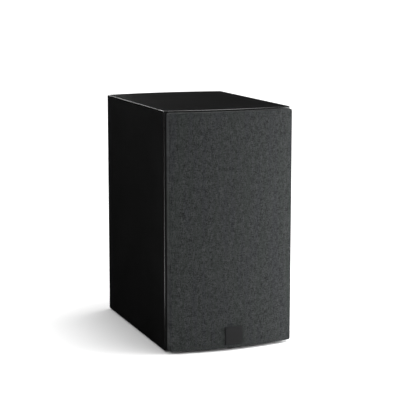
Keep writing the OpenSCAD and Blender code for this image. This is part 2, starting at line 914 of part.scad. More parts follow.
module board_spacers() {
    color([0.85, 0.85, 0.8]) board_screw_places() translate([0, 0, board_t])
        ring(1.7, 3.5, spacer_h);
}

module air_core_inductor() {
    color([0.7, 0.4, 0.18]) translate([-28, board_y + 28, board_top])
        ring(10, 21, 20);
}

module iron_core_inductor() {
    color([0.3, 0.3, 0.3]) translate([20, board_y + 22, board_top]) {
        cylinder(h = 2, r = 14);
        cylinder(h = 20, r = 9);
        translate([0, 0, 18]) cylinder(h = 2, r = 14);
    }
}

module lying_can(x, y, r, l) {
    translate([x - l / 2, board_y + y, board_top + r]) rotate([0, 90, 0])
        cylinder(h = l, r = r);
}

module film_capacitor() { color([0.75, 0.6, 0.2]) lying_can(24, 50, 8, 34); }
module electrolytic_capacitor() { color([0.15, 0.25, 0.45]) lying_can(-26, 64, 9, 38); }

module cement_resistors() {
    color([0.85, 0.84, 0.8]) for (i = [0, 1])
        translate([8, board_y + 62 + i * 11, board_top]) cube([36, 8, 8]);
}

// Pairs of leads, each from the board to its terminals. side is -1 for the red one.
module woofer_leads() {
    color([0.6, 0.1, 0.1]) for (s = [-1, 1]) lead([
        [6 * s, woofer_y + 51, woofer_z + 56.6], [6 * s, woofer_y + 54, woofer_z + 56.6],
        [6 * s, woofer_y + 57, woofer_z + 56.6],
        [8 * s + 20, woofer_y + 74, woofer_z + 52], [6 * s + 50, woofer_y + 90, 110],
        [5 * s + 54, board_y - 24, 60], [4 * s + 44, board_y - 4, 44],
        [4 * s + 34, board_y + 4, 36], [4 * s + 34, board_y + 4, 30],
        [4 * s + 34, board_y + 4, board_top]
    ], lead_r, lead_steps);
}

module tweeter_leads() {
    color([0.6, 0.1, 0.1]) for (s = [-1, 1]) lead([
        [5 * s, tweeter_y + 32, tweeter_z - 35.4], [5 * s, tweeter_y + 35, tweeter_z - 35.4],
        [5 * s, tweeter_y + 38, tweeter_z - 35.4],
        [5 * s - 16, tweeter_y + 56, 212], [4 * s - 48, tweeter_y + 80, 170],
        [4 * s - 56, board_y - 26, 80], [4 * s - 46, board_y - 5, 46],
        [4 * s - 36, board_y + 4, 36], [4 * s - 36, board_y + 4, 30],
        [4 * s - 36, board_y + 4, board_top]
    ], lead_r, lead_steps);
}

module input_leads() {
    color([0.6, 0.1, 0.1]) for (s = [-1, 1]) lead([
        [s * post_gap / 2, cup_floor - stud_in, cup_z],
        [s * post_gap / 2, cup_floor - stud_in - 3, cup_z],
        [s * post_gap / 2, cup_floor - stud_in - 6, cup_z],
        [12 * s, board_y + 88, 70], [6 * s, board_y + 82, 46],
        [5 * s, board_y + 79, 36], [5 * s, board_y + 79, 30],
        [5 * s, board_y + 79, board_top]
    ], lead_r, lead_steps);
}

left_side_panel();
right_side_panel();
top_panel();
bottom_panel();
front_baffle();
rear_panel();
window_brace();
foot_pads();
foam_left();
foam_right();
peg_cups();
grille_frame();
grille_cloth();
grille_pegs();
grille_badge();
woofer_basket();
woofer_trim_ring();
woofer_screws();
woofer_magnet();
woofer_top_plate();
woofer_back_plate();
woofer_surround();
woofer_spider();
woofer_cone();
woofer_dust_cap();
woofer_former();
woofer_coil();
woofer_braids();
tweeter_faceplate();
tweeter_screws();
tweeter_dome();
tweeter_surround();
tweeter_coil();
tweeter_top_plate();
tweeter_magnet();
tweeter_back_plate();
tweeter_chamber();
driver_gaskets();
driver_tags();
port_tube();
terminal_cup();
small_screws();
post_studs();
post_nuts();
red_washer();
red_knob();
black_washer();
black_knob();
crossover_board();
board_spacers();
air_core_inductor();
iron_core_inductor();
film_capacitor();
electrolytic_capacitor();
cement_resistors();
woofer_leads();
tweeter_leads();
input_leads();
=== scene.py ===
import json
import math

import bmesh
import bpy
import numpy as np
from mathutils import Matrix, Vector

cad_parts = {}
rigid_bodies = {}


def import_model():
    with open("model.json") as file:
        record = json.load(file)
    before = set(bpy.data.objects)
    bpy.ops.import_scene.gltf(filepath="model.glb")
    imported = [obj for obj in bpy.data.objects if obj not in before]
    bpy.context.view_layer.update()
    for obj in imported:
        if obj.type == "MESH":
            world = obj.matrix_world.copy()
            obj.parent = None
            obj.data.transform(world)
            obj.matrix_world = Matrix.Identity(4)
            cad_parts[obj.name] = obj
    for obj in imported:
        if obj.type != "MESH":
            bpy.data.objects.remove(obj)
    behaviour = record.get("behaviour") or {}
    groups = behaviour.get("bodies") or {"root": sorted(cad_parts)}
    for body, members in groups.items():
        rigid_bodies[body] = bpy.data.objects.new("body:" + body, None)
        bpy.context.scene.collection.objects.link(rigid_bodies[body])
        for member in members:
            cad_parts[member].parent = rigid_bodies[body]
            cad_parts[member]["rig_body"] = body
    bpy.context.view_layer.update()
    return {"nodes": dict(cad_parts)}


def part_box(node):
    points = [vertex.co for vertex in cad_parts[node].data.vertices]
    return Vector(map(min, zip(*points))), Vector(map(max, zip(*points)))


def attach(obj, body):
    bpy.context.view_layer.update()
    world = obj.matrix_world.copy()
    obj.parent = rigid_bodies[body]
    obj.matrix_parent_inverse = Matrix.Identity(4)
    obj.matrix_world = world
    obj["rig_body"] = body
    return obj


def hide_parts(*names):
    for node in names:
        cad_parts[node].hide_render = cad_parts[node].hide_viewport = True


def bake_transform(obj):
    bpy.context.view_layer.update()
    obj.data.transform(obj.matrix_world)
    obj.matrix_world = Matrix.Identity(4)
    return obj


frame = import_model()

# ---- Camera ----
# A long lens stands in front of the speaker, to its left and a little above its top.
mm = 0.001
turn = math.radians(-21.0)
tilt = math.radians(8.5)
away, aside, height = 2002 * mm, 8.3 * mm, 538.3 * mm
aim = (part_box("left_side_panel")[0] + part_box("right_side_panel")[1]) / 2
backwards = Vector((math.sin(turn), -math.cos(turn), 0))
sideways = Vector((math.cos(turn), math.sin(turn), 0))

camera = bpy.data.objects.new("camera", bpy.data.cameras.new("camera"))
bpy.context.scene.collection.objects.link(camera)
bpy.context.scene.camera = camera
camera.location = Vector((0, aim.y - 1.5 * mm, height)) + backwards * away + sideways * aside
camera.rotation_euler = (math.pi / 2 - tilt, 0, turn)
camera.data.lens = 118.5
camera.data.shift_y = -0.07
camera.data.clip_start, camera.data.clip_end = 0.1, 300

# ---- Floor and lights ----
# A white paper sweep in an even white room, under a large high lamp, with a softbox close on
# the right. Five cards draw the lacquer's edges and the metal's highlights, and light nothing else.
bpy.context.scene.view_settings.view_transform = "Standard"


def wire(value, socket):
    """Sets a socket to a value, or links it to a Level."""
    if isinstance(value, Level):
        socket.id_data.links.new(value.socket, socket)
    else:
        socket.default_value = value


class Level:
    """A shader or geometry socket that can stand in a sum: each operator adds a Math node."""

    def __init__(self, socket):
        self.socket = socket

    def sum(self, operation, *terms):
        made = self.socket.id_data.nodes.new("ShaderNodeMath")
        made.operation = operation
        for term, socket in zip(terms, made.inputs):
            wire(term, socket)
        return Level(made.outputs[0])

    def __add__(self, other):
        return self.sum("ADD", self, other)

    def __sub__(self, other):
        return self.sum("SUBTRACT", self, other)

    def __rsub__(self, other):
        return self.sum("SUBTRACT", other, self)

    def __mul__(self, other):
        return self.sum("MULTIPLY", self, other)

    def __truediv__(self, other):
        return self.sum("DIVIDE", self, other)

    def __pow__(self, other):
        return self.sum("POWER", self, other)

    def __gt__(self, other):
        return self.sum("GREATER_THAN", self, other)

    def __lt__(self, other):
        return self.sum("LESS_THAN", self, other)

    __radd__ = __add__
    __rmul__ = __mul__


def add_node(tree, kind, sockets, out=0, stops=None, **settings):
    """Adds a node: its settings and ramp stops first, then the values or links of its sockets."""
    made = tree.nodes.new(kind)
    for key, value in settings.items():
        setattr(made, key, value)
    if stops:
        while len(made.color_ramp.elements) < len(stops):
            made.color_ramp.elements.new(1)
        for element, (at, grey) in zip(made.color_ramp.elements, stops):
            element.position, element.color = at, (grey, grey, grey, 1)
    for key, value in sockets.items():
        wire(value, made.inputs[key])
    return Level(made.outputs[out])


def tint(red, green, blue):
    """A paint colour from its values out of 255, as the shader wants it."""
    return tuple(
        c / 12.92 if c <= 0.04045 else ((c + 0.055) / 1.055) ** 2.4
        for c in (red / 255, green / 255, blue / 255)
    ) + (1,)


class Finish:
    """The finish of a surface, on a Principled shader. Patterns are laid out in millimetres."""

    def __init__(self, name, colour, roughness=0.5, centre=(0, 0, 0), turned=(0, 0, 0), **constants):
        self.material = bpy.data.materials.new(name)
        self.material.use_nodes = True
        self.tree = self.material.node_tree
        self.skin = self.tree.nodes["Principled BSDF"]
        self.material.diffuse_color = colour
        self.set(**{"Base Color": colour, "Roughness": roughness}, **constants)
        self.place = self.node("Mapping", {
            "Vector": self.node("TexCoord", {}, out="Object"),
            "Location": [-c / mm for c in centre], "Rotation": turned, "Scale": [1 / mm] * 3,
        })
        self.heights = []

    def node(self, kind, sockets, out=0, stops=None, **settings):
        return add_node(self.tree, "ShaderNode" + kind, sockets, out, stops, **settings)

    def set(self, **sockets):
        for name, value in sockets.items():
            wire(value, self.skin.inputs[name.replace("_", " ")])

    def paint(self, share, first, second):
        """The piece's own colour, from the first to the second by the share."""
        self.set(**{"Base Color": self.blend(share, first, second)})

    def axis(self, name):
        return self.node("SeparateXYZ", {0: self.place}, out=name)

    def stretched(self, *sizes):
        """The place in millimetres, divided by one size along each axis."""
        return self.node("VectorMath", {0: self.place, 1: [1 / s for s in sizes]}, operation="MULTIPLY")

    def grain(self, size, detail=2.0, rough=0.5, at=None, out=0):
        """Cloudy noise with features of that size in millimetres, about 0.5 on average."""
        return self.node("TexNoise", {
            "Vector": at or self.place, "Scale": 1.0 if at else 1 / size,
            "Detail": detail, "Roughness": rough,
        }, out=out)

    def cells(self, size, at=None, out=0, **settings):
        return self.node("TexVoronoi", {"Vector": at or self.place, "Scale": 1.0 if at else 1 / size},
                         out=out, **settings)

    def step(self, value, low, high):
        """0 below low, 1 above high, eased in between."""
        return self.node("MapRange", {0: value, 1: low, 2: high}, interpolation_type="SMOOTHSTEP")

    def blend(self, share, first, second):
        return self.node("Mix", {0: share, 6: first, 7: second}, out=2, data_type="RGBA")

    def radius(self):
        """Distance from the turning axis, which runs through the centre along Y."""
        flat = self.node("VectorMath", {0: self.place, 1: (1, 0, 1)}, operation="MULTIPLY")
        return self.node("VectorMath", {0: flat}, out="Value", operation="LENGTH")

    def angle(self):
        x, z = self.axis("X"), self.axis("Z")
        return x.sum("ARCTAN2", z, x)

    def relief(self, height, depth):
        """Bumps of that depth in millimetres, laid on the ones before."""
        sockets = {"Height": height, "Distance": depth * mm}
        if self.heights:
            sockets["Normal"] = self.heights[-1]
        self.heights.append(self.node("Bump", sockets))
        self.set(Normal=self.heights[-1])
        return self


floor_size = 60
floor_mesh = bpy.data.meshes.new("floor")
floor_mesh.from_pydata(
    [(x * floor_size, y * floor_size, 0) for x, y in ((-1, -1), (1, -1), (1, 1), (-1, 1))],
    [], [(0, 1, 2, 3)])
floor = bpy.data.objects.new("floor", floor_mesh)
bpy.context.scene.collection.objects.link(floor)
floor.visible_glossy = False
paper = Finish("floor_paper", tint(235, 235, 235), 0.9, Specular_IOR_Level=0)
paper.relief(paper.grain(0.6), 0.02)
floor_mesh.materials.append(paper.material)

room = bpy.data.worlds.new("room")
bpy.context.scene.world = room
room.use_nodes = True
room.cycles_visibility.glossy = False
room.node_tree.nodes["Background"].inputs["Strength"].default_value = 1.0
room.node_tree.nodes["Background"].inputs["Color"].default_value = (1, 1, 1, 1)


def direction(azimuth, elevation):
    """A unit vector from the speaker. Azimuth 0 is straight in front, 90 its right."""
    a, e = math.radians(azimuth), math.radians(elevation)
    return Vector((math.sin(a) * math.cos(e), -math.cos(a) * math.cos(e), math.sin(e)))


def lamp(name, kind, azimuth, elevation, power, distance=3.0, **shape):
    light = bpy.data.lights.new(name, kind)
    light.energy = power
    for key, value in shape.items():
        setattr(light, key, value)
    holder = bpy.data.objects.new(name, light)
    bpy.context.scene.collection.objects.link(holder)
    out = direction(azimuth, elevation)
    holder.location = Vector((0, 0, 0.2)) + out * distance
    holder.rotation_mode = "QUATERNION"
    holder.rotation_quaternion = out.to_track_quat("Z", "Y")
    return holder


lamp("high_lamp", "SUN", 80, 74, 2.2, angle=math.radians(34))
near = lamp("right_softbox", "AREA", 66, 0, 11, 0.75, shape="RECTANGLE", size=0.65, size_y=0.34)
near.visible_camera = False
left_azimuth = -66
cards = {}
for name, azimuth, elevation, distance, power, size, size_y in (
    ("left_edge_card", left_azimuth, 0, 1.3, 16, 0.5, 1.8),
    ("top_edge_card", -168, 22, 2.2, 5, 0.5, 0.5),
    ("front_card", 30, 52, 2.2, 18, 1.0, 0.6),
    ("back_card", -135, 50, 2.2, 18, 1.0, 0.6),
    ("rear_card", 180, 12, 2.2, 3, 0.9, 0.5),
):
    card = lamp(name, "AREA", azimuth, elevation, power, distance, shape="RECTANGLE", size=size,
                size_y=size_y)
    card.visible_diffuse = False
    card.visible_camera = False
    cards[name] = card

# The left card lies on the floor, because the upright edge mirrors what is low beside it.
flat_card = cards["left_edge_card"]
flat_card.location.z = 3 * mm
flat_card.rotation_mode = "XYZ"
flat_card.rotation_euler = (math.pi, 0, math.radians(left_azimuth))

# ---- Cabinet ----
# Six panels of medium-density fibreboard. The sides, top and bottom are mitred and glued into
# a tube; the bowed front and back are glued on its ends. The edges are rounded over, then
# everything outside is sprayed satin black, and the inside is left raw.
half_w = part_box("right_side_panel")[1].x
seam_front, seam_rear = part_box("left_side_panel")[0].y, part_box("left_side_panel")[1].y
cabinet_low, cabinet_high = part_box("bottom_panel")[0].z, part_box("top_panel")[1].z
wall_t = half_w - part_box("window_brace")[1].x
baffle_t, rear_t = 18 * mm, 15 * mm
round_over = 1.5 * mm
round_steps = 4
woofer_mid = (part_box("woofer_trim_ring")[0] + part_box("woofer_trim_ring")[1]) / 2
tweeter_mid = (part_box("tweeter_faceplate")[0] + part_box("tweeter_faceplate")[1]) / 2
port_mid = (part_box("port_tube")[0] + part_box("port_tube")[1]) / 2
cup_low, cup_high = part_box("terminal_cup")


def build(name, points, faces, material, body=None, slot=None, sharp=32, tidy=True):
    """Makes a piece from points and faces. Flat faces stay flat, curved ones are shaded smooth."""
    shape = bmesh.new()
    made = [shape.verts.new(p) for p in points]
    for face in faces:
        corners = list(dict.fromkeys(made[i] for i in face))
        if len(corners) > 2:
            shape.faces.new(corners)
    if tidy:
        bmesh.ops.remove_doubles(shape, verts=shape.verts, dist=1e-6)
        bmesh.ops.dissolve_degenerate(shape, edges=shape.edges, dist=1e-7)
        bmesh.ops.recalc_face_normals(shape, faces=shape.faces)
    mesh = bpy.data.meshes.new(name)
    shape.to_mesh(mesh)
    shape.free()
    mesh.shade_smooth()
    mesh.set_sharp_from_angle(angle=math.radians(sharp))
    mesh.materials.append(material)
    piece = bpy.data.objects.new(name, mesh)
    bpy.context.scene.collection.objects.link(piece)
    if body:
        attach(piece, body)
    return piece


def joined(rings, n, closed=True):
    """The faces between rings of n points each. Closed joins the last ring to the first."""
    return [(k * n + i, k * n + (i + 1) % n, (k + 1) % rings * n + (i + 1) % n, (k + 1) % rings * n + i)
            for k in range(rings if closed else rings - 1) for i in range(n)]


def settle(piece):
    """Turns a piece's modifiers into plain mesh."""
    bpy.context.view_layer.update()
    ready = piece.evaluated_get(bpy.context.evaluated_depsgraph_get())
    mesh = bpy.data.meshes.new_from_object(ready, depsgraph=bpy.context.evaluated_depsgraph_get())
    piece.modifiers.clear()
    piece.data = mesh
    return piece


def modifier(piece, kind, **settings):
    made = piece.modifiers.new(kind.lower(), kind)
    for key, value in settings.items():
        setattr(made, key, value)
    return made


def drilled(piece, holes, sides=96):
    """Cuts round holes that run along Y: each is (x, z, radius, from y, to y)."""
    for x, z, r, y0, y1 in holes:
        ring = [(x + r * math.cos(a), z + r * math.sin(a))
                for a in np.linspace(0, 2 * math.pi, sides, endpoint=False)]
        bit = build("bit", [(px, y, pz) for y in (y0, y1) for px, pz in ring],
                    [tuple(range(sides)), tuple(range(2 * sides - 1, sides - 1, -1))]
                    + joined(2, sides, False), piece.data.materials[0])
        cut(piece, bit)
    return piece


def cut(piece, tool):
    modifier(piece, "BOOLEAN", operation="DIFFERENCE", solver="EXACT", object=tool)
    settle(piece)
    bpy.data.objects.remove(tool)


def crisp(piece, sharp=32):
    """Keeps large flat faces evenly shaded next to small rounded ones."""
    piece.data.shade_smooth()
    piece.data.set_sharp_from_angle(angle=math.radians(sharp))
    modifier(piece, "WEIGHTED_NORMAL", keep_sharp=True, weight=90)
    return settle(piece)


def arc_radius(half, rise):
    return (half * half + rise * rise) / (2 * rise)


def round_levels():
    """(inset, height) round a quarter circle, from the outside face to the end face."""
    return [(round_over * (1 - math.cos(a)), round_over * math.sin(a))
            for a in np.linspace(0, math.pi / 2, round_steps + 1)]


def bowed_plan(apex, corner, seam, inset, steps=56):
    """Half of the cabinet's plan, from the left seam round the bow to the right seam."""
    out = 1 if apex > corner else -1
    bow = arc_radius(half_w, abs(apex - corner))
    middle = apex - out * bow
    post_x = half_w - round_over
    post_y = math.sqrt((bow - round_over) ** 2 - post_x**2)
    lean = math.atan2(post_x, post_y)
    small = round_over - inset
    right = [(post_x + small * math.sin(a), middle + out * (post_y + small * math.cos(a)))
             for a in np.linspace(lean, math.pi / 2, 7)] + [(half_w - inset, seam)]
    bowed = [((bow - inset) * math.sin(a), middle + out * (bow - inset) * math.cos(a))
             for a in np.linspace(-lean, lean, steps)[1:-1]]
    return [(-x, y) for x, y in reversed(right)] + bowed + right


def bowed_panel(name, node, apex, corner, seam, material):
    """A flat-backed board with a bowed face and rounded edges, between the cabinet's ends."""
    quarter = round_levels()
    rings = [(i, cabinet_low + round_over - rise) for i, rise in reversed(quarter)]
    rings += [(i, cabinet_high - round_over + rise) for i, rise in quarter]
    plans = [bowed_plan(apex, corner, seam, i) for i, _ in rings]
    n = len(plans[0])
    points = [(x, y, z) for plan, (_, z) in zip(plans, rings) for x, y in plan]
    faces = [(k * n + i, k * n + i + 1, (k + 1) * n + i + 1, (k + 1) * n + i)
             for k in range(len(rings) - 1) for i in range(n - 1)]
    faces += [tuple(range(n)), tuple(range((len(rings) - 1) * n, len(rings) * n))]
    faces.append(tuple(k * n for k in range(len(rings)))
                 + tuple(k * n + n - 1 for k in reversed(range(len(rings)))))
    piece = build(name, points, faces, material, "cabinet", "cabinet_paint")
    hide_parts(node)
    return piece


def tube_panel(name, node, section, material):
    """A board of the mitred tube: its section across the cabinet, run from seam to seam."""
    n = len(section)
    points = [(x, y, z) for y in (seam_front, seam_rear) for x, z in section]
    faces = [tuple(range(n)), tuple(range(2 * n - 1, n - 1, -1))]
    faces += joined(2, n, False)
    piece = build(name, points, faces, material, "cabinet", "cabinet_paint")
    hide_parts(node)
    return crisp(piece)


# Satin lacquer: near-black, with faint orange peel, a few dust nibs and softer edges.
lacquer = Finish("satin_black_lacquer", tint(20, 20, 20), Specular_IOR_Level=0.42)
peel = lacquer.grain(1.6, 1.5)
nibs = lacquer.step(lacquer.cells(9.0), 0.05, 0.035)
haze = lacquer.grain(38, 3)
across, along, up = (lacquer.axis(a) for a in "XYZ")
swell = 1 - across * across * (1 / (half_w / mm) ** 2)
front_line = along + swell * ((seam_front - baffle_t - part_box("front_baffle")[0].y) / mm)
rear_line = along - swell * ((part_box("rear_panel")[1].y - seam_rear - rear_t) / mm)


def close_to(low, low_at, high, high_at):
    """One within 1.3 mm of either plane, and nothing beyond 1.9 mm."""
    return (lacquer.step(low, low_at / mm + 1.9, low_at / mm + 1.3)
            + lacquer.step(high, high_at / mm - 1.9, high_at / mm - 1.3))


near_x = close_to(across, -half_w, across, half_w)
near_y = close_to(front_line, seam_front - baffle_t, rear_line, seam_rear + rear_t)
near_z = close_to(up, cabinet_low, up, cabinet_high)
edge = near_x * near_y + near_y * near_z + near_x * near_z
lacquer.set(Roughness=0.29 + 0.08 * haze + 0.03 * peel - 0.11 * edge)
lacquer.paint(lacquer.step(haze, 0.3, 0.75), tint(17, 17, 17.5), tint(20, 20, 20.5))
lacquer.relief(peel, 0.010).relief(nibs, 0.012)

# Raw board: compressed fibres, denser and darker at the faces.
raw_board = Finish("raw_fibreboard", tint(150, 118, 84), 0.92, Specular_IOR_Level=0.2)
fibres = raw_board.grain(0, 5, 0.65, at=raw_board.stretched(1.6, 1.6, 0.7))
flecks = raw_board.grain(0.5, 3, 0.7)
raw_board.paint(raw_board.step(fibres * 0.6 + flecks * 0.4, 0.35, 0.68), tint(118, 88, 60),
                tint(172, 140, 104))
raw_board.relief(flecks, 0.12).relief(fibres, 0.08)

quarter = round_levels()
half_round = quarter[: round_steps // 2 + 1]
side_section = [(half_w - i, cabinet_high - round_over + rise) for i, rise in half_round]
side_section += [(half_w - wall_t, cabinet_high - wall_t), (half_w - wall_t, cabinet_low + wall_t)]
side_section += [(half_w - i, cabinet_low + round_over - rise) for i, rise in reversed(half_round)]
tube_panel("side_right", "right_side_panel", side_section, lacquer.material)
tube_panel("side_left", "left_side_panel", [(-x, z) for x, z in side_section], lacquer.material)

end_section = [(half_w - i, round_over - rise) for i, rise in quarter[round_steps // 2:]]
end_section = end_section + [(-x, d) for x, d in reversed(end_section)]
end_section += [(wall_t - half_w, wall_t), (half_w - wall_t, wall_t)]
tube_panel("top", "top_panel", [(x, cabinet_high - d) for x, d in end_section], lacquer.material)
tube_panel("bottom", "bottom_panel", [(x, cabinet_low + d) for x, d in end_section], lacquer.material)


def true_bow(piece, apex, corner):
    """Gives the bowed face the exact normals of its arc, so that its holes leave no shading marks."""
    out = 1 if apex > corner else -1
    bow = arc_radius(half_w, abs(apex - corner))
    middle = apex - out * bow
    mesh = piece.data
    normals = [Vector(c.vector) for c in mesh.corner_normals]
    for face in mesh.polygons:
        spoke = Vector((face.center.x, face.center.y - middle, 0))
        on_arc = abs(spoke.length - bow) < 0.3 * mm and face.normal.dot(spoke.normalized()) > 0.9995
        for loop in face.loop_indices if on_arc else ():
            point = mesh.vertices[mesh.loops[loop].vertex_index].co
            normals[loop] = Vector((point.x, point.y - middle, 0)).normalized()
    mesh.normals_split_custom_set(normals)
    return piece


baffle = bowed_panel("baffle", "front_baffle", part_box("front_baffle")[0].y,
                     seam_front - baffle_t, seam_front, lacquer.material)
back_board = bowed_panel("back_board", "rear_panel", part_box("rear_panel")[1].y,
                         seam_rear + rear_t, seam_rear, lacquer.material)
for board in (baffle, back_board):
    crisp(board)

# ---- Brace, pads, linings and grille cups ----
# A shelf brace of the same board ties the side walls; soft foam sheets are stuck to them.
# The speaker stands on four rubber pads. Moulded rubber cups in the front take the grille's pegs.


def softened(node, material, name=None, bevel=0.3, segments=2, angle=38):
    """A copy of a CAD node with its sharp edges broken, as moulding, casting or sanding leaves them."""
    cad = frame["nodes"][node]
    shape = bmesh.new()
    shape.from_mesh(cad.data)
    bmesh.ops.remove_doubles(shape, verts=shape.verts, dist=2e-6)
    bmesh.ops.dissolve_limit(shape, angle_limit=math.radians(0.5), verts=shape.verts, edges=shape.edges)
    mesh = bpy.data.meshes.new(name or node + "_piece")
    shape.to_mesh(mesh)
    shape.free()
    piece = bpy.data.objects.new(name or node + "_piece", mesh)
    bpy.context.scene.collection.objects.link(piece)
    mesh.materials.clear()
    mesh.materials.append(material)
    if bevel:
        modifier(piece, "BEVEL", width=bevel * mm, segments=segments, limit_method="ANGLE",
                 angle_limit=math.radians(angle), harden_normals=False)
        settle(piece)
    crisp(piece)
    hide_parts(node)
    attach(piece, cad["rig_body"])
    return piece


pad_rubber = Finish("pad_rubber", tint(24, 24, 25), 0.85)
pad_rubber.relief(pad_rubber.grain(0.8, 3), 0.08)
lining = Finish("open_cell_foam", tint(70, 70, 74), 0.95, Specular_IOR_Level=0.1)
pore_pits_painted_dark = lining.cells(2.4)
# The pore bottoms are painted darker than the foam's own grey: painted shade in the pits.
lining.paint(lining.step(pore_pits_painted_dark, 0.1, 0.6), tint(38, 38, 41), tint(84, 84, 88))
lining.relief(pore_pits_painted_dark, 0.9)
cup_rubber = Finish("cup_rubber", tint(20, 20, 21), 0.7)
cup_rubber.relief(cup_rubber.grain(0.7, 3), 0.05)

softened("window_brace", raw_board.material, "shelf_brace", 0.5)
softened("foot_pads", pad_rubber.material, "stick_on_pads", 0.4, 3)
softened("peg_cups", cup_rubber.material, "grille_cups", 0.35)


def foam_sheet(node, name, side):
    """Two egg-crate sheets on one wall: rows of soft bumps on a flat back."""
    low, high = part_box(node)
    wall, face = (low.x, high.x) if side < 0 else (high.x, low.x)
    splits = ((low.z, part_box("window_brace")[0].z - 8.5 * mm),
              (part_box("window_brace")[1].z + 4 * mm, high.z))
    pitch, dip = 22 * mm, 4.5 * mm
    points, faces = [], []
    for z0, z1 in splits:
        across, up = int((high.y - low.y) / pitch * 6), int((z1 - z0) / pitch * 6)
        ys, zs = np.linspace(low.y, high.y, across + 1), np.linspace(z0, z1, up + 1)
        start = len(points)
        for front in (True, False):
            for z in zs:
                for y in ys:
                    wave = 0.5 - 0.25 * (math.cos(2 * math.pi * (y - low.y) / pitch)
                                         + math.cos(2 * math.pi * (z - z0) / pitch))
                    rim = min(y - low.y, high.y - y, z - z0, z1 - z) / (3 * mm)
                    drop = dip * (1 - wave) + 2 * mm * max(0, 1 - rim) ** 2
                    points.append((face - (face - wall) / abs(face - wall) * drop if front else wall, y, z))
        row, sheet_size = across + 1, (across + 1) * (up + 1)
        for j in range(up):
            for i in range(across):
                a = start + j * row + i
                faces.append((a, a + 1, a + row + 1, a + row))
                faces.append(tuple(c + sheet_size for c in (a + row, a + row + 1, a + 1, a)))
        rim = ([i for i in range(row)] + [j * row + across for j in range(1, up + 1)]
               + [up * row + i for i in range(across - 1, -1, -1)] + [j * row for j in range(up - 1, 0, -1)])
        for a, b in zip(rim, rim[1:] + rim[:1]):
            faces.append((start + b, start + a, start + a + sheet_size, start + b + sheet_size))
    piece = build(name, points, faces, lining.material, "cabinet", "foam", sharp=60)
    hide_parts(node)
    return piece


foam_sheet("foam_left", "lining_left", -1)
foam_sheet("foam_right", "lining_right", 1)

# ---- Grille frame, pegs and cloth ----
# The frame is injection-moulded black plastic with round pegs pushed into its corners.
# Charcoal heather cloth is pulled over its face and sides and glued down behind its rails.
grille_low, grille_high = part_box("grille_cloth")
cloth_w = grille_high.x - grille_low.x
cloth_bow, cloth_side = 10.5 * mm, 14.5 * mm
cloth_rise = grille_high.z - grille_low.z
cloth_roll, cloth_corner = 1.1 * mm, 3 * mm
cloth_thick, hem = 0.5 * mm, 9 * mm
grille_gap = 1.5 * mm

moulded = Finish("moulded_black_plastic", tint(22, 22, 23), 0.55)
spark = moulded.grain(0.9, 2)
moulded.set(Roughness=0.48 + 0.16 * moulded.grain(12, 2))
moulded.relief(spark, 0.03)
softened("grille_frame", moulded.material, "frame_moulding", 0.35)
softened("grille_pegs", moulded.material, "frame_pegs", 0.3)


def cloth_rim(inset, y_of, steps_x=64, steps_z=116, corner_steps=5):
    """The outline of the grille moved in by inset, as four runs that share their end points."""
    w, h = cloth_w / 2 - inset, cloth_rise / 2 - inset
    r = max(cloth_corner - inset, 0.4 * mm)
    bend = [(r * math.sin(a), r * (1 - math.cos(a))) for a in np.linspace(math.pi / 2, 0, corner_steps)]
    top_left = [(-w + r - s, h - d) for s, d in bend]
    straight = np.linspace(-w + r, w - r, steps_x)[1:-1]
    top = top_left + [(x, h) for x in straight] + [(-x, z) for x, z in reversed(top_left)]
    side = np.linspace(h - r, -h + r, steps_z)[1:-1]
    middle = (grille_low.z + grille_high.z) / 2
    loop = (top + [(w, z) for z in side] + [(x, -z) for x, z in reversed(top)]
            + [(-w, z) for z in reversed(side)])
    return [(x, y_of(x), middle + z) for x, z in loop], len(top), len(side)


def face_y(x):
    bow = arc_radius(cloth_w / 2, cloth_bow)
    return grille_low.y + bow - math.sqrt(bow * bow - x * x)


baffle_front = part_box("front_baffle")[0].y


def behind_y(x):
    """The plane behind the frame, which follows the baffle's bow at the gap's distance."""
    bow = arc_radius(half_w, seam_front - baffle_t - baffle_front)
    return baffle_front + bow - math.sqrt((bow + grille_gap) ** 2 - x * x)


rolls = [(cloth_roll * (1 - math.cos(a)), cloth_roll * (1 - math.sin(a)))
         for a in np.linspace(0, math.pi / 2, 6)]
stations = [(hem, lambda x: behind_y(x) + 0.55 * mm), (hem / 2, lambda x: behind_y(x) + 0.6 * mm),
            (0.8 * mm, lambda x: behind_y(x) + 0.55 * mm), (0.2 * mm, lambda x: behind_y(x) + 0.2 * mm)]
stations += [(0.0, lambda x, t=t: behind_y(x) * (1 - t) + (face_y(x) + cloth_roll) * t)
             for t in (0.06, 0.35, 0.7)]
stations += [(i, lambda x, d=d: face_y(x) + d) for i, d in rolls]
rims = [cloth_rim(i, y_of) for i, y_of in stations]
points = [p for rim, _, _ in rims for p in rim]
n, n_top, n_side = len(rims[0][0]), rims[0][1], rims[0][2]
faces = joined(len(rims), n, False)
last = (len(rims) - 1) * n
grid = [[last + i for i in range(n_top)]]
for j in range(n_side):
    left, right = last + n - 1 - j, last + n_top + j
    row = [left]
    for i in range(1, n_top - 1):
        above, below = points[last + i], points[last + 2 * n_top + n_side - 1 - i]
        share = (j + 1) / (n_side + 1)
        x = above[0]
        points.append((x, face_y(x), above[2] * (1 - share) + below[2] * share))
        row.append(len(points) - 1)
    grid.append(row + [right])
grid.append([last + 2 * n_top + n_side - 1 - i for i in range(n_top)])
faces += [(a, b, d, c) for above, below in zip(grid, grid[1:])
          for a, b, c, d in zip(above, above[1:], below, below[1:])]

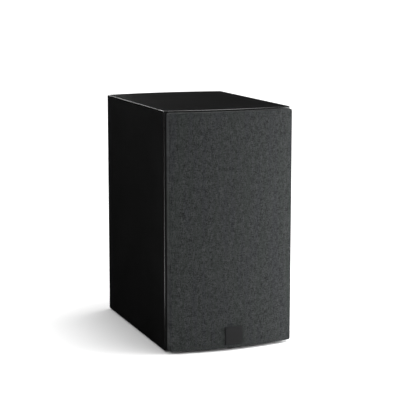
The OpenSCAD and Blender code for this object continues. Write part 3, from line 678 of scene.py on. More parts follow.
# Heather cloth: threads of slightly different greys, fine ribs up and down, small slubs.
heather = Finish("charcoal_heather_cloth", tint(62, 64, 64), 0.95, Specular_IOR_Level=0.05,
                 Sheen_Weight=0.05, Sheen_Roughness=0.5)
warp = heather.grain(0, 2, 0.6, at=heather.stretched(1.2, 30, 6))
weft = heather.grain(0, 2, 0.6, at=heather.stretched(8, 30, 1.2))
blotch = heather.grain(0, 3, 0.6, at=heather.stretched(4.5, 30, 9))
knots = heather.grain(0, 2, 0.6, at=heather.stretched(1.5, 4, 1.5))
tone = 0.24 * warp + 0.20 * weft + 0.20 * blotch + 0.36 * knots
bands = heather.grain(0, 2, 0.5, at=heather.stretched(6.5, 60, 90))
shade = heather.blend(heather.step(tone, 0.36, 0.64), tint(14, 15, 15), tint(57.5, 59.5, 59.5))
shade = heather.blend(heather.step(bands, 0.48, 0.62) * 0.35, shade, tint(37, 41, 39))
shade = heather.blend(heather.step(bands, 0.50, 0.38) * 0.30, shade, tint(37, 38, 42))
heather.set(**{"Base Color": shade})
rib_x = heather.axis("X") * (2 * math.pi / 1.05)
rib_z = heather.axis("Z") * (2 * math.pi / 0.95)
weave = rib_x.sum("SINE", rib_x) * rib_z.sum("SINE", rib_z)
heather.relief(weave, 0.05).relief(knots, 0.25)

cloth = build("stretched_cloth", points, faces, heather.material, sharp=70)
modifier(cloth, "SOLIDIFY", thickness=cloth_thick, offset=-1.0)
settle(cloth)
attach(cloth, "grille")
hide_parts("grille_cloth")

# ---- Badge ----
# A small plate of zinc alloy, satin grey, with softly rounded edges and no lettering.
# Two pins on its back go through the cloth into the frame.
badge_metal = Finish("satin_grey_metal", tint(54, 54, 55), 0.42, Metallic=0.35)
brushed = badge_metal.grain(0, 3, 0.6, at=badge_metal.stretched(14, 14, 0.35))
badge_metal.set(Roughness=0.36 + 0.14 * brushed)
badge_metal.paint(badge_metal.step(brushed, 0.3, 0.7), tint(36, 36, 37), tint(42, 42, 43))
badge_metal.relief(brushed, 0.01)
softened("grille_badge", badge_metal.material, "badge_plate", 0.35, 3)

# ---- Cut-outs ----
# The front is routed for the drivers' flanges, its holes cut through, and drilled for the
# cups; the back takes the port and the terminal cup. The inner faces stay raw board.
woofer_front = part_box("woofer_basket")[0].y
tweeter_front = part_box("tweeter_faceplate")[0].y
woofer_z, tweeter_z = woofer_mid.z, tweeter_mid.z
flange_t, gasket_t, face_t = 4 * mm, 1 * mm, 4 * mm
woofer_r = (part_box("woofer_trim_ring")[1].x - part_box("woofer_trim_ring")[0].x) / 2
face_r = (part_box("tweeter_faceplate")[1].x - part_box("tweeter_faceplate")[0].x) / 2
port_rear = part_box("port_tube")[1].y
port_r, port_flange_r, port_flange_t = 22.5 * mm, 40 * mm, 3 * mm
cup_flange_t, before, beyond = 3 * mm, -1, 1
cup_low_box, cup_high_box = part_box("peg_cups")
cup_hole_r = 5 * mm

holes = [
    (0, woofer_z, woofer_r + 0.4 * mm, before, woofer_front + flange_t + gasket_t),
    (0, woofer_z, 73 * mm, before, beyond),
    (0, tweeter_z, face_r + 0.4 * mm, before, tweeter_front + face_t + gasket_t),
    (0, tweeter_z, 38.6 * mm, before, beyond),
]
holes += [(x, z, cup_hole_r, before, cup_high_box.y)
          for x in (cup_low_box.x + cup_hole_r, cup_high_box.x - cup_hole_r)
          for z in (cup_low_box.z + cup_hole_r, cup_high_box.z - cup_hole_r)]
drilled(baffle, holes, 128)
drilled(back_board, [
    (0, port_mid.z, port_flange_r + 0.3 * mm, port_rear - port_flange_t, beyond),
    (0, port_mid.z, 31 * mm, before, beyond),
], 128)


def rounded_rectangle(width, high, r, steps=7):
    """Corner points of a rounded rectangle about its middle."""
    arc = np.linspace(0, math.pi / 2, steps)
    corner = [(width / 2 - r + r * math.cos(a), high / 2 - r + r * math.sin(a)) for a in arc]
    return (corner + [(-x, z) for x, z in reversed(corner)] + [(-x, -z) for x, z in corner]
            + [(x, -z) for x, z in reversed(corner)])


def prism(name, outline, y0, y1, material, middle):
    n = len(outline)
    points = [(x, y, z + middle) for y in (y0, y1) for x, z in outline]
    return build(name, points, [tuple(range(n)), tuple(range(2 * n - 1, n - 1, -1))]
                 + joined(2, n, False), material)


cup_rear = cup_high.y
cup_z = (cup_low.z + cup_high.z) / 2
cup_w, cup_h = cup_high.x - cup_low.x, cup_high.z - cup_low.z
cup_in_w, cup_in_h, cup_wall = 79 * mm, 49 * mm, 2.5 * mm
cut(back_board, prism("bit", rounded_rectangle(cup_w + 0.6 * mm, cup_h + 0.6 * mm, 6.3 * mm),
                      cup_rear - cup_flange_t, beyond, lacquer.material, cup_z))
cut(back_board, prism("bit", rounded_rectangle(cup_in_w + 2 * cup_wall + 1 * mm,
                                               cup_in_h + 2 * cup_wall + 1 * mm, 6 * mm),
                      before, beyond, lacquer.material, cup_z))


def leave_raw(piece, axis, at):
    """The faces that lie in one plane stay unpainted."""
    if len(piece.data.materials) == 1:
        piece.data.materials.append(raw_board.material)
    for face in piece.data.polygons:
        if abs(face.center[axis] - at) < 0.1 * mm and abs(face.normal[axis]) > 0.9:
            face.material_index = 1


leave_raw(true_bow(crisp(baffle), baffle_front, seam_front - baffle_t), 1, seam_front)
leave_raw(true_bow(crisp(back_board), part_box("rear_panel")[1].y, seam_rear + rear_t), 1, seam_rear)
for name, axis, at in (("side_left", 0, wall_t - half_w), ("side_right", 0, half_w - wall_t),
                       ("top", 2, cabinet_high - wall_t), ("bottom", 2, cabinet_low + wall_t)):
    leave_raw(bpy.data.objects[name], axis, at)

# ---- Woofer: basket, trim ring, screws and motor ----
# A cast aluminium basket with a black powder coat is screwed through a moulded trim ring.
# The motor is a ferrite ring between two zinc-plated steel plates.


def turned_piece(name, section, centre, material, body=None, slot=None, replaces=(),
                 sides=128, sharp=32, axis="Y"):
    """A round piece: section is its closed half outline, as (radius, distance along the axis)."""
    x, y, z = centre
    place = {"X": lambda r, d, a: (x + d, y + r * math.cos(a), z + r * math.sin(a)),
             "Y": lambda r, d, a: (x + r * math.sin(a), y + d, z + r * math.cos(a)),
             "Z": lambda r, d, a: (x + r * math.cos(a), y + r * math.sin(a), z + d)}[axis]
    angles = np.linspace(0, 2 * math.pi, sides, endpoint=False)
    points = [place(r, d, a) for a in angles for r, d in section]
    piece = build(name, points, joined(sides, len(section)), material, body, slot, sharp)
    if replaces:
        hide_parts(*replaces)
    return piece


def bend(r, d, radius, start, end, steps=6):
    """Points round an arc in a section. 0 points outwards, 90 towards the front."""
    return [(r + radius * math.cos(math.radians(a)), d - radius * math.sin(math.radians(a)))
            for a in np.linspace(start, end, steps)]


def collar(inner, outer, front, back, soft):
    """The section of a flat ring with softened edges."""
    return (bend(outer - soft, front + soft, soft, 0, 90, 5)
            + bend(inner + soft, front + soft, soft, 90, 180, 5)
            + bend(inner + soft, back - soft, soft, 180, 270, 5)
            + bend(outer - soft, back - soft, soft, 270, 360, 5))


woofer_centre = Vector((0, woofer_front, woofer_z))
trim_t, trim_inner = 2 * mm, 74.8 * mm
screw_circle, screw_hole = 79 * mm, 3.9 * mm
screw_angles = [math.radians(a) for a in range(30, 360, 60)]

powder = Finish("black_powder_coat", tint(34, 34, 35), 0.6, Specular_IOR_Level=0.4)
powder.relief(powder.grain(0.9, 2), 0.06)
trim_plastic = Finish("satin_trim_plastic", tint(20, 20, 21), 0.42, centre=woofer_centre)
trim_plastic.set(Roughness=0.36 + 0.12 * trim_plastic.grain(5, 3))
turning = trim_plastic.radius() * (2 * math.pi / 0.8)
trim_plastic.relief(turning.sum("SINE", turning), 0.006).relief(trim_plastic.grain(0.6), 0.01)

softened("woofer_basket", powder.material, "cast_basket", 0.5, 2)
trim = turned_piece("trim_ring", collar(trim_inner, woofer_r, -trim_t, 0, 0.7 * mm), woofer_centre,
                    trim_plastic.material, "cabinet", "trim_plastic", ["woofer_trim_ring"])
drilled(trim, [(screw_circle * math.sin(a), woofer_z + screw_circle * math.cos(a),
                screw_hole, before, beyond) for a in screw_angles], 40)
crisp(trim)

ferrite = Finish("sintered_ferrite", tint(52, 50, 50), 0.72, centre=woofer_centre)
chalk = ferrite.grain(3, 4, 0.65)
ferrite.paint(ferrite.step(chalk, 0.35, 0.7), tint(40, 39, 39), tint(64, 62, 61))
ferrite.relief(chalk, 0.08)
zinc = Finish("zinc_plated_steel", tint(168, 168, 160), 0.34, centre=woofer_centre, Metallic=1.0)
stain = zinc.grain(14, 3)
lathe_lines = zinc.radius() * (2 * math.pi / 0.5)
zinc.set(Roughness=0.26 + 0.22 * stain)
zinc.paint(zinc.step(stain, 0.35, 0.65), tint(150, 149, 138), tint(178, 178, 174))
zinc.relief(lathe_lines.sum("SINE", lathe_lines), 0.012)
softened("woofer_magnet", ferrite.material, "ferrite_ring", 0.8)
softened("woofer_top_plate", zinc.material, "motor_top_plate", 0.4)
softened("woofer_back_plate", zinc.material, "motor_back_plate", 0.6)


class Pattern:
    """A Geometry Nodes tree with named sizes, run on an empty mesh to make one repeated shape."""

    def __init__(self, name, **sizes):
        self.tree = bpy.data.node_groups.new(name, "GeometryNodeTree")
        self.tree.interface.new_socket("Geometry", in_out="OUTPUT", socket_type="NodeSocketGeometry")
        self.sizes, self.sockets = sizes, {}
        for label, value in sizes.items():
            kind = {int: "NodeSocketInt", float: "NodeSocketFloat"}.get(type(value), "NodeSocketVector")
            if isinstance(value, bpy.types.Object):
                kind = "NodeSocketObject"
            if isinstance(value, bpy.types.Material):
                kind = "NodeSocketMaterial"
            self.sockets[label] = self.tree.interface.new_socket(label, in_out="INPUT",
                                                                 socket_type=kind).identifier
        self.inputs = self.tree.nodes.new("NodeGroupInput")

    def size(self, label):
        return Level(self.inputs.outputs[label])

    def node(self, kind, sockets, out=0, **settings):
        prefix = "" if kind.startswith("Shader") else "GeometryNode"
        return add_node(self.tree, prefix + kind, sockets, out, **settings)

    def end(self, shape):
        """Realizes the instances and sets the material, as the tree's last two nodes."""
        real = self.node("RealizeInstances", {0: shape})
        done = self.node("SetMaterial", {"Geometry": real, "Material": self.size("Material")})
        output = self.tree.nodes.new("NodeGroupOutput")
        self.tree.links.new(done.socket, output.inputs[0])

    def make(self, name, body, slot=None, replaces=(), sharp=32, **sizes):
        """Runs the tree with these sizes and keeps the result as a plain mesh."""
        piece = bpy.data.objects.new(name, bpy.data.meshes.new(name))
        bpy.context.scene.collection.objects.link(piece)
        made = piece.modifiers.new("pattern", "NODES")
        made.node_group = self.tree
        for label, value in {**self.sizes, **sizes}.items():
            made[self.sockets[label]] = value
        settle(piece)
        piece.data.shade_smooth()
        piece.data.set_sharp_from_angle(angle=math.radians(sharp))
        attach(piece, body)
        if replaces:
            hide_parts(*replaces)
        return piece


def screw_blank(name, head_r, head_t, shank_r, shank_l, drive_r, material, hexagon=True, sides=40):
    """One screw, its head's underside at the origin, pointing back along Y."""
    crown = 0.35 * head_t
    section = [(0.0, -head_t)] + [(head_r * s, -head_t + crown * s * s) for s in (0.3, 0.6, 0.85)]
    section += [(head_r, -head_t * 0.45), (head_r, 0), (shank_r, 0)]
    turns = int(shank_l / (0.9 * mm))
    for k in range(turns):
        d = shank_l * (k + 0.5) / turns
        section += [(shank_r, d - 0.25 * mm), (shank_r * 0.78, d + 0.1 * mm)]
    section += [(shank_r * 0.55, shank_l), (0.0, shank_l)]
    blank = turned_piece(name, section, Vector((0, 0, 0)), material, sides=sides)
    deep = -head_t + 0.62 * head_t
    if hexagon:
        outline = [(drive_r * math.cos(a), drive_r * math.sin(a))
                   for a in np.linspace(0, 2 * math.pi, 7)[:-1]]
        cut(blank, prism("bit", outline, -head_t * 2, deep, material, 0))
    else:
        arm, wide = drive_r, drive_r * 0.3
        for w, h in ((arm, wide), (wide, arm)):
            cut(blank, prism("bit", [(w, h), (-w, h), (-w, -h), (w, -h)], -head_t * 2, deep, material, 0))
    blank.hide_render = True
    return blank


black_steel = Finish("blackened_steel", tint(30, 30, 32), 0.38, Metallic=0.85)
black_steel.set(Roughness=0.32 + 0.2 * black_steel.grain(1.2, 3))
black_steel.relief(black_steel.grain(0.5, 2), 0.01)

# One tree sets any blank on a circle round an axis that runs along Y.
ring_of = Pattern("blanks_on_a_circle", Material=black_steel.material, Blank=floor, Count=6,
                  Radius=0.079, Start=0.0, Centre=(0.0, 0.0, 0.0))
spots = ring_of.node("MeshCircle", {"Vertices": ring_of.size("Count"), "Radius": ring_of.size("Radius")})
flat = ring_of.node("Transform", {
    "Geometry": spots, "Translation": ring_of.size("Centre"),
    "Rotation": ring_of.node("ShaderNodeCombineXYZ", {
        "X": math.pi / 2, "Y": ring_of.size("Start"), "Z": 0.0})})
blank_shape = ring_of.node("ObjectInfo", {"Object": ring_of.size("Blank")}, out="Geometry")
ring_of.end(ring_of.node("InstanceOnPoints", {"Points": flat, "Instance": blank_shape}))

woofer_screw = screw_blank("woofer_screw", 3.8 * mm, 1.8 * mm, 1.9 * mm, 16 * mm, 1.6 * mm,
                           black_steel.material)
ring_of.make("woofer_screws_hex", "cabinet", "black_steel", ["woofer_screws"], Blank=woofer_screw, Count=6,
             Radius=screw_circle, Start=math.radians(30), Centre=woofer_centre)

# ---- Woofer: cone, cap, surround, spider, coil and braids ----
# The pressed-paper cone hangs in a rubber half-roll and an amber, resin-stiffened cloth spider.
# Its dust cap covers the voice coil, whose current comes along two tinsel braids.
cone_r, cone_h, land, skin, roll_r = 61.8 * mm, 26 * mm, 4.8 * mm, 0.8 * mm, 4.5 * mm
neck_r = 16.4 * mm
lip_r = cone_r - land


def cone_depth(r):
    """Depth of the cone's front at a radius: nearly straight, with a slight swell."""
    share = (lip_r - r) / (lip_r - neck_r)
    return (cone_h - 0.2 * mm) * share + 0.5 * mm * math.sin(math.pi * share)


paper_pulp = Finish("pressed_paper_cone", tint(38, 38, 40), 0.7, centre=woofer_centre,
                    Specular_IOR_Level=0.3)
pulp = paper_pulp.grain(2.2, 5, 0.7)
fibre = paper_pulp.grain(0.5, 3, 0.7)
paper_pulp.paint(paper_pulp.step(pulp * 0.6 + fibre * 0.4, 0.36, 0.64), tint(27, 27, 29), tint(50, 50, 53))
paper_pulp.set(Roughness=0.56 + 0.2 * pulp)
paper_pulp.relief(pulp, 0.10).relief(fibre, 0.07)
runs = np.linspace(lip_r - 0.4 * mm, neck_r, 26)
front = [(cone_r, 0.0), (lip_r + 0.5 * mm, 0.0), (lip_r, 0.12 * mm)] + [(r, cone_depth(r)) for r in runs]
back = [(r, cone_depth(r) + skin) for r in reversed(runs)] + [(lip_r, skin), (cone_r, skin)]
turned_piece("paper_cone", front + back, woofer_centre, paper_pulp.material, "woofer_moving", "cone_paper",
             ["woofer_cone"])

cap_r, cap_h = 22 * mm, 8 * mm
cap_base = cone_depth(cap_r) - 0.1 * mm


def dome_section(rim_r, rise, thick, base, steps=18):
    """A dome's closed section that rises towards the front from the depth base."""
    big = arc_radius(rim_r, rise)
    half = math.asin(rim_r / big)
    outside = [(big * math.sin(a), base + big - rise - big * math.cos(a))
               for a in np.linspace(half, 0, steps)]
    inside = [((big - thick) * math.sin(a), base + big - rise - (big - thick) * math.cos(a))
              for a in np.linspace(0, half, steps)]
    return outside + inside


cap_skin = Finish("dust_cap_paper", tint(34, 34, 36), 0.6, centre=woofer_centre, Specular_IOR_Level=0.35)
cap_pulp = cap_skin.grain(1.4, 4, 0.65)
cap_skin.paint(cap_skin.step(cap_pulp, 0.35, 0.65), tint(26, 26, 28), tint(43, 43, 46))
cap_skin.set(Roughness=0.5 + 0.2 * cap_pulp)
cap_skin.relief(cap_pulp, 0.07)
cap = dome_section(cap_r, cap_h, skin, cap_base)
cap = [(cap_r + 1.3 * mm, cone_depth(cap_r + 1.3 * mm) - 0.05 * mm),
       (cap_r + 0.5 * mm, cap_base - 0.55 * mm)] + cap
turned_piece("dust_cap", cap, woofer_centre, cap_skin.material, "woofer_moving", "cone_paper",
             ["woofer_dust_cap"])


def half_roll(mid, r, thick, inner_land, outer_land, base=0.0):
    """A half-roll edge's section, bulging forward, with a flat land on each side."""
    lean = math.degrees(math.asin(thick / r))
    front = [(mid + r + outer_land - thick, base - thick)] + bend(mid, base, r, lean, 180 - lean, 22)
    front += [(mid - r - inner_land + thick, base - thick), (mid - r - inner_land + thick, base)]
    back = bend(mid, base, r - thick, 180, 0, 22)
    return front + back + [(mid + r + outer_land - thick, base)]


def radial_blend(piece):
    """Bakes the piece's placement into its mesh; the piece is not tied to any body."""
    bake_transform(piece)
    return piece


rubber = Finish("surround_rubber", tint(22, 22, 23), 0.5, centre=woofer_centre, Specular_IOR_Level=0.45)
bloom = rubber.grain(9, 3)
rubber.set(Roughness=0.44 + 0.16 * bloom)
rubber.paint(rubber.step(bloom, 0.4, 0.75), tint(19, 19, 20), tint(29, 29, 30))
rubber.relief(rubber.grain(0.7), 0.02)
roll_mid = cone_r - skin + roll_r
edge = turned_piece("rubber_surround", half_roll(roll_mid, roll_r, skin, land, land), woofer_centre,
                    rubber.material, slot="surround_rubber", replaces=["woofer_surround"], sides=144)
radial_blend(edge)

amber_cloth = Finish("amber_spider_cloth", tint(196, 158, 88), 0.8, centre=woofer_centre,
                     Specular_IOR_Level=0.25)
thread_x, thread_z = (amber_cloth.axis(a) * (2 * math.pi / 0.9) for a in "XZ")
mesh_weave = thread_x.sum("SINE", thread_x) * thread_z.sum("SINE", thread_z)
resin = amber_cloth.grain(7, 3)
amber_cloth.paint(amber_cloth.step(resin * 0.8 + mesh_weave * 0.15, 0.2, 0.6), tint(158, 116, 52),
                  tint(206, 172, 104))
amber_cloth.relief(mesh_weave, 0.12)
spider_in, spider_out, spider_rim = 17.2 * mm, 40 * mm, 43.9 * mm
waves, swing, spider_t, spider_depth = 4, 1.4 * mm, 0.7 * mm, 29.3 * mm
line = [(spider_in + (spider_out - spider_in) * s, spider_depth + swing * math.sin(2 * math.pi * waves * s))
        for s in np.linspace(0, 1, 12 * waves + 1)]
line = [(neck_r, spider_depth), *line, (spider_rim, spider_depth)]
spider = turned_piece("cloth_spider", line + [(r, d + spider_t) for r, d in reversed(line)], woofer_centre,
                      amber_cloth.material, slot="spider_cloth", replaces=["woofer_spider"], sides=112,
                      sharp=50)
radial_blend(spider)

kapton = Finish("amber_former_film", tint(176, 132, 62), 0.3, centre=woofer_centre, Coat_Weight=0.3)
kapton.set(Roughness=0.26 + 0.2 * kapton.grain(6, 2))
kapton.paint(kapton.grain(11, 2), tint(158, 112, 46), tint(192, 150, 78))
copper = Finish("enamelled_copper", tint(176, 92, 48), 0.32, Metallic=1.0, Coat_Weight=0.4)
enamel = copper.grain(3, 3)
copper.set(Roughness=0.26 + 0.16 * enamel)
copper.paint(copper.step(enamel, 0.35, 0.7), tint(156, 76, 36), tint(196, 112, 62))
softened("woofer_former", kapton.material, "coil_former", 0)

# One tree winds wire round an axis: a spiral given a round section.
winding = Pattern("wound_wire", Material=copper.material, Turns=20.0, Radius=0.02, Height=0.02,
                  Wire=0.0005, Rotation=(0.0, 0.0, 0.0), Centre=(0.0, 0.0, 0.0))
spiral = winding.node("CurveSpiral", {
    "Resolution": 40, "Rotations": winding.size("Turns"), "Start Radius": winding.size("Radius"),
    "End Radius": winding.size("Radius"), "Height": winding.size("Height")})
wire_section = winding.node("CurvePrimitiveCircle", {"Resolution": 6, "Radius": winding.size("Wire")})
wound = winding.node("CurveToMesh", {"Curve": spiral, "Profile Curve": wire_section, "Fill Caps": True})
winding.end(winding.node("Transform", {
    "Geometry": wound, "Rotation": winding.size("Rotation"), "Translation": winding.size("Centre")}))

coil_low, coil_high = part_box("woofer_coil")
coil_wire = 0.4 * mm
winding.make("voice_coil", "woofer_moving", "copper_wire", ["woofer_coil"],
             Turns=(coil_high.y - coil_low.y - 2 * coil_wire) / (2 * coil_wire),
             Radius=coil_high.x - coil_wire, Height=coil_high.y - coil_low.y - 2 * coil_wire, Wire=coil_wire,
             Rotation=(-math.pi / 2, 0.0, 0.0), Centre=(0.0, coil_low.y + coil_wire, woofer_z))


def smooth_route(points, per_span=8):
    """A smooth curve through the points, by Catmull-Rom spans."""
    p = [Vector(q) for q in points]
    p = [p[0] * 2 - p[1], *p, p[-1] * 2 - p[-2]]
    route = []
    for a, b, c, d in zip(p, p[1:], p[2:], p[3:]):
        for t in np.linspace(0, 1, per_span, endpoint=False):
            route.append(0.5 * (2 * b + (c - a) * t + (2 * a - 5 * b + 4 * c - d) * t * t
                                + (3 * b - a - 3 * c + d) * t**3))
    return route + [p[-2]]


def lead(name, routes, r, material, sides=10, twist=0.0, **piece_facts):
    """Round wires along smooth routes, as one piece. twist gives a braid its lay."""
    points, faces, along = [], [], []
    for route in routes:
        path = smooth_route(route)
        start = len(points)
        side = Vector((0.9, 0.1, 0.3))
        for k, p in enumerate(path):
            ahead = (path[min(k + 1, len(path) - 1)] - path[max(k - 1, 0)]).normalized()
            side = (side - ahead * side.dot(ahead)).normalized()
            other = ahead.cross(side)
            for s in range(sides):
                a = 2 * math.pi * s / sides + twist * k
                bulge = r * (1 - 0.12 * (s % 2)) if twist else r
                points.append(p + (side * math.cos(a) + other * math.sin(a)) * bulge)
                along.append(k / (len(path) - 1))
        rings = len(path)
        faces += [(start + k * sides + s, start + k * sides + (s + 1) % sides,
                   start + (k + 1) * sides + (s + 1) % sides, start + (k + 1) * sides + s)
                  for k in range(rings - 1) for s in range(sides)]
        faces += [tuple(range(start + sides - 1, start - 1, -1)),
                  tuple(range(start + (rings - 1) * sides, start + rings * sides))]
    return build(name, points, faces, material, tidy=False, sharp=60, **piece_facts), along


tinsel = Finish("tinsel_braid", tint(176, 124, 84), 0.45, Metallic=0.8)
strands = tinsel.grain(0.5, 2)
tinsel.paint(tinsel.step(strands, 0.4, 0.6), tint(126, 82, 50), tint(204, 152, 108))
tinsel.relief(strands, 0.1)
braid_route = [(12, 12.9, 37), (12.6, 17, 38), (16, 22, 43), (21, 25, 50),
               (24, 29, 58), (21, 38, 61), (14, 45, 58), (9, 47, 56.6)]
braids, along = lead("tinsel_braids", [
    [(side * x * mm, woofer_front + y * mm, woofer_z + z * mm) for x, y, z in braid_route]
    for side in (-1, 1)],
    0.6 * mm, tinsel.material, twist=0.5)
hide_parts("woofer_braids")
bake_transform(braids)
np.array([(1 - t) ** 2 * (1 + 2 * t) for t in along], np.float32)

# ---- Tweeter ----
# A moulded faceplate with a short horn flare holds a 26 mm coated silk dome. Its ferrite
# motor and plastic rear chamber sit behind; four small screws fix it to the front.
tweeter_centre = Vector((0, tweeter_front, tweeter_z))
flare_r, throat_r, throat_depth, hub_depth, hub_r = 34 * mm, 16.5 * mm, 6 * mm, 8.4 * mm, 38 * mm
film = 0.4 * mm

face_plastic = Finish("satin_faceplate_plastic", tint(21, 21, 22), 0.4, centre=tweeter_centre)
face_plastic.set(Roughness=0.34 + 0.14 * face_plastic.grain(6, 3))
face_rings = face_plastic.radius() * (2 * math.pi / 0.9)
face_plastic.relief(face_rings.sum("SINE", face_rings), 0.005).relief(face_plastic.grain(0.6), 0.008)
flare = arc_radius(flare_r - throat_r, throat_depth)
flare_lean = math.asin((flare_r - throat_r) / flare)
plate_section = [(flare_r - flare * math.sin(a), flare - flare * math.cos(a))
                 for a in np.linspace(0, flare_lean, 16)]
plate_section += [(throat_r, hub_depth - film), (throat_r + 3.5 * mm, hub_depth - film),
                  (throat_r + 3.5 * mm, hub_depth), (hub_r, hub_depth), (hub_r, face_t)]
plate_section += bend(face_r - 0.4 * mm, face_t - 0.4 * mm, 0.4 * mm, -90, 0, 4)
plate_section += bend(face_r - 1 * mm, 1 * mm, 1 * mm, 0, 90, 6)
faceplate = turned_piece("tweeter_horn_plate", plate_section, tweeter_centre, face_plastic.material,
                         "cabinet", "trim_plastic", ["tweeter_faceplate"], sides=144)
small_circle, small_angles = 45 * mm, [math.radians(a) for a in (45, 135, 225, 315)]
spots = [(small_circle * math.sin(a), tweeter_z + small_circle * math.cos(a)) for a in small_angles]
drilled(faceplate, [(x, z, 3.2 * mm, before, tweeter_front + 1.8 * mm) for x, z in spots], 36)
drilled(faceplate, [(x, z, 1.8 * mm, before, beyond) for x, z in spots], 28)
crisp(faceplate)
tweeter_screw = screw_blank("tweeter_screw", 3 * mm, 1.8 * mm, 1.5 * mm, 14 * mm, 1.2 * mm,
                            black_steel.material)
ring_of.make("tweeter_screws_hex", "cabinet", "black_steel", ["tweeter_screws"], Blank=tweeter_screw,
             Count=4, Radius=small_circle, Start=math.radians(45),
             Centre=tweeter_centre + Vector((0, 1.8 * mm, 0)))

silk = Finish("coated_silk_dome", tint(34, 34, 36), 0.42, centre=tweeter_centre, Specular_IOR_Level=0.5)
silk_x, silk_z = (silk.axis(a) * (2 * math.pi / 0.55) for a in "XZ")
silk_weave = silk_x.sum("SINE", silk_x) * silk_z.sum("SINE", silk_z)
dope = silk.grain(3, 3)
silk.set(Roughness=0.34 + 0.2 * dope)
silk.paint(silk.step(dope, 0.35, 0.7), tint(27, 27, 29), tint(41, 41, 44))
silk.relief(silk_weave, 0.03)
dome_r, dome_h = 13 * mm, 6 * mm
turned_piece("silk_dome", dome_section(dome_r, dome_h, film, hub_depth - film, 22), tweeter_centre,
             silk.material, "tweeter_moving", "dome_silk", ["tweeter_dome"], sides=112)
small_roll = 1.5 * mm
roll_centre = dome_r + small_roll
dome_edge = turned_piece("dome_surround", half_roll(roll_centre, small_roll, film, film, 3 * mm, hub_depth),
                         tweeter_centre, silk.material, slot="dome_silk", replaces=["tweeter_surround"],
                         sides=112)
radial_blend(dome_edge)
coil_low, coil_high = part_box("tweeter_coil")
fine_wire = 0.24 * mm
winding.make("dome_coil", "tweeter_moving", "copper_wire", ["tweeter_coil"],
             Turns=(coil_high.y - coil_low.y - 2 * fine_wire) / (2 * fine_wire),
             Radius=coil_high.x - fine_wire,
             Height=coil_high.y - coil_low.y - 2 * fine_wire, Wire=fine_wire,
             Rotation=(-math.pi / 2, 0.0, 0.0),
             Centre=(0.0, coil_low.y + fine_wire, tweeter_z))
softened("tweeter_top_plate", zinc.material, "dome_top_plate", 0.3)
softened("tweeter_magnet", ferrite.material, "dome_ferrite", 0.6)
softened("tweeter_back_plate", zinc.material, "dome_back_plate", 0.4)
softened("tweeter_chamber", moulded.material, "rear_chamber", 0.5)

# ---- Gaskets and solder tags ----
# Closed-cell foam rings seal each driver. Brown paper-laminate boards carry the brass tags.
gasket_foam = Finish("gasket_foam", tint(44, 44, 46), 0.95)
cell = gasket_foam.cells(0.9)
# Each cell's middle, where the bump dips, is painted darker: painted shade in the cell pits.
gasket_foam.paint(cell, tint(30, 30, 32), tint(54, 54, 57))
gasket_foam.relief(cell, 0.15)
tag_paper = Finish("tag_board_laminate", tint(142, 96, 52), 0.55)
layers = tag_paper.grain(0, 3, 0.6, at=tag_paper.stretched(5, 0.4, 5))
tag_paper.paint(tag_paper.step(layers, 0.35, 0.65), tint(118, 74, 36), tint(164, 118, 68))
tag_paper.relief(layers, 0.03)
softened("driver_gaskets", gasket_foam.material, "foam_gaskets", 0.2)
softened("driver_tags", tag_paper.material, "tag_boards", 0.2)

# ---- Port ----
# A blow-moulded tube with a flared mouth, pushed into the back from outside.
port_centre = Vector((0, port_rear, port_mid.z))
port_l, port_wall, port_flare = 120 * mm, 2.5 * mm, 8 * mm
port_plastic = Finish("port_plastic", tint(23, 23, 24), 0.5, centre=port_centre)
spark = port_plastic.grain(1.1, 3)
port_plastic.set(Roughness=0.42 + 0.2 * spark)
port_plastic.relief(spark, 0.05)
mouth_r = port_r + port_flare
flared = [(mouth_r - port_flare * math.cos(a), -port_flare + port_flare * math.sin(a))
          for a in np.linspace(0, math.pi / 2, 12)]
tube = [(port_r, -port_l), *flared]
tube += [(port_flange_r - 0.8 * mm + 0.8 * mm * math.sin(a), -0.8 * mm + 0.8 * mm * math.cos(a))
         for a in np.linspace(0, math.pi / 2, 5)]
tube += [(port_flange_r, -port_flange_t), (port_r + port_wall + port_flare - 3 * mm, -port_flange_t),
         (port_r + port_wall + port_flare - 3 * mm, -port_flare - 2 * mm),
         (port_r + port_wall, -port_flare - 2 * mm), (port_r + port_wall, -port_l)]
turned_piece("flared_port", tube, port_centre, port_plastic.material, "cabinet", "port_plastic",
             ["port_tube"])

# ---- Terminal cup, posts and knobs ----
# A moulded cup is screwed into the back. Two gilt brass studs pass through its floor, each
# with a captive washer and a fluted plastic knob that screws along it: red and black.
cup_plastic = Finish("cup_plastic", tint(22, 22, 23), 0.5)
stipple = cup_plastic.cells(1.3)
cup_plastic.set(Roughness=0.44 + 0.2 * stipple)
cup_plastic.relief(stipple, 0.05)
softened("terminal_cup", cup_plastic.material, "terminal_dish", 0.6, 3)

brass = Finish("gilt_brass", tint(222, 176, 92), 0.24, Metallic=1.0)
wear = brass.grain(2.5, 4)
brass.set(Roughness=0.18 + 0.2 * wear)
brass.paint(brass.step(wear, 0.35, 0.7), tint(206, 156, 76), tint(232, 192, 112))
brass.relief(brass.grain(0.6), 0.006)
softened("post_studs", brass.material, "gilt_studs", 0.25)
softened("post_nuts", brass.material, "gilt_nuts", 0.3)
softened("red_washer", brass.material, "gilt_washer_red", 0.25)
softened("black_washer", brass.material, "gilt_washer_black", 0.25)


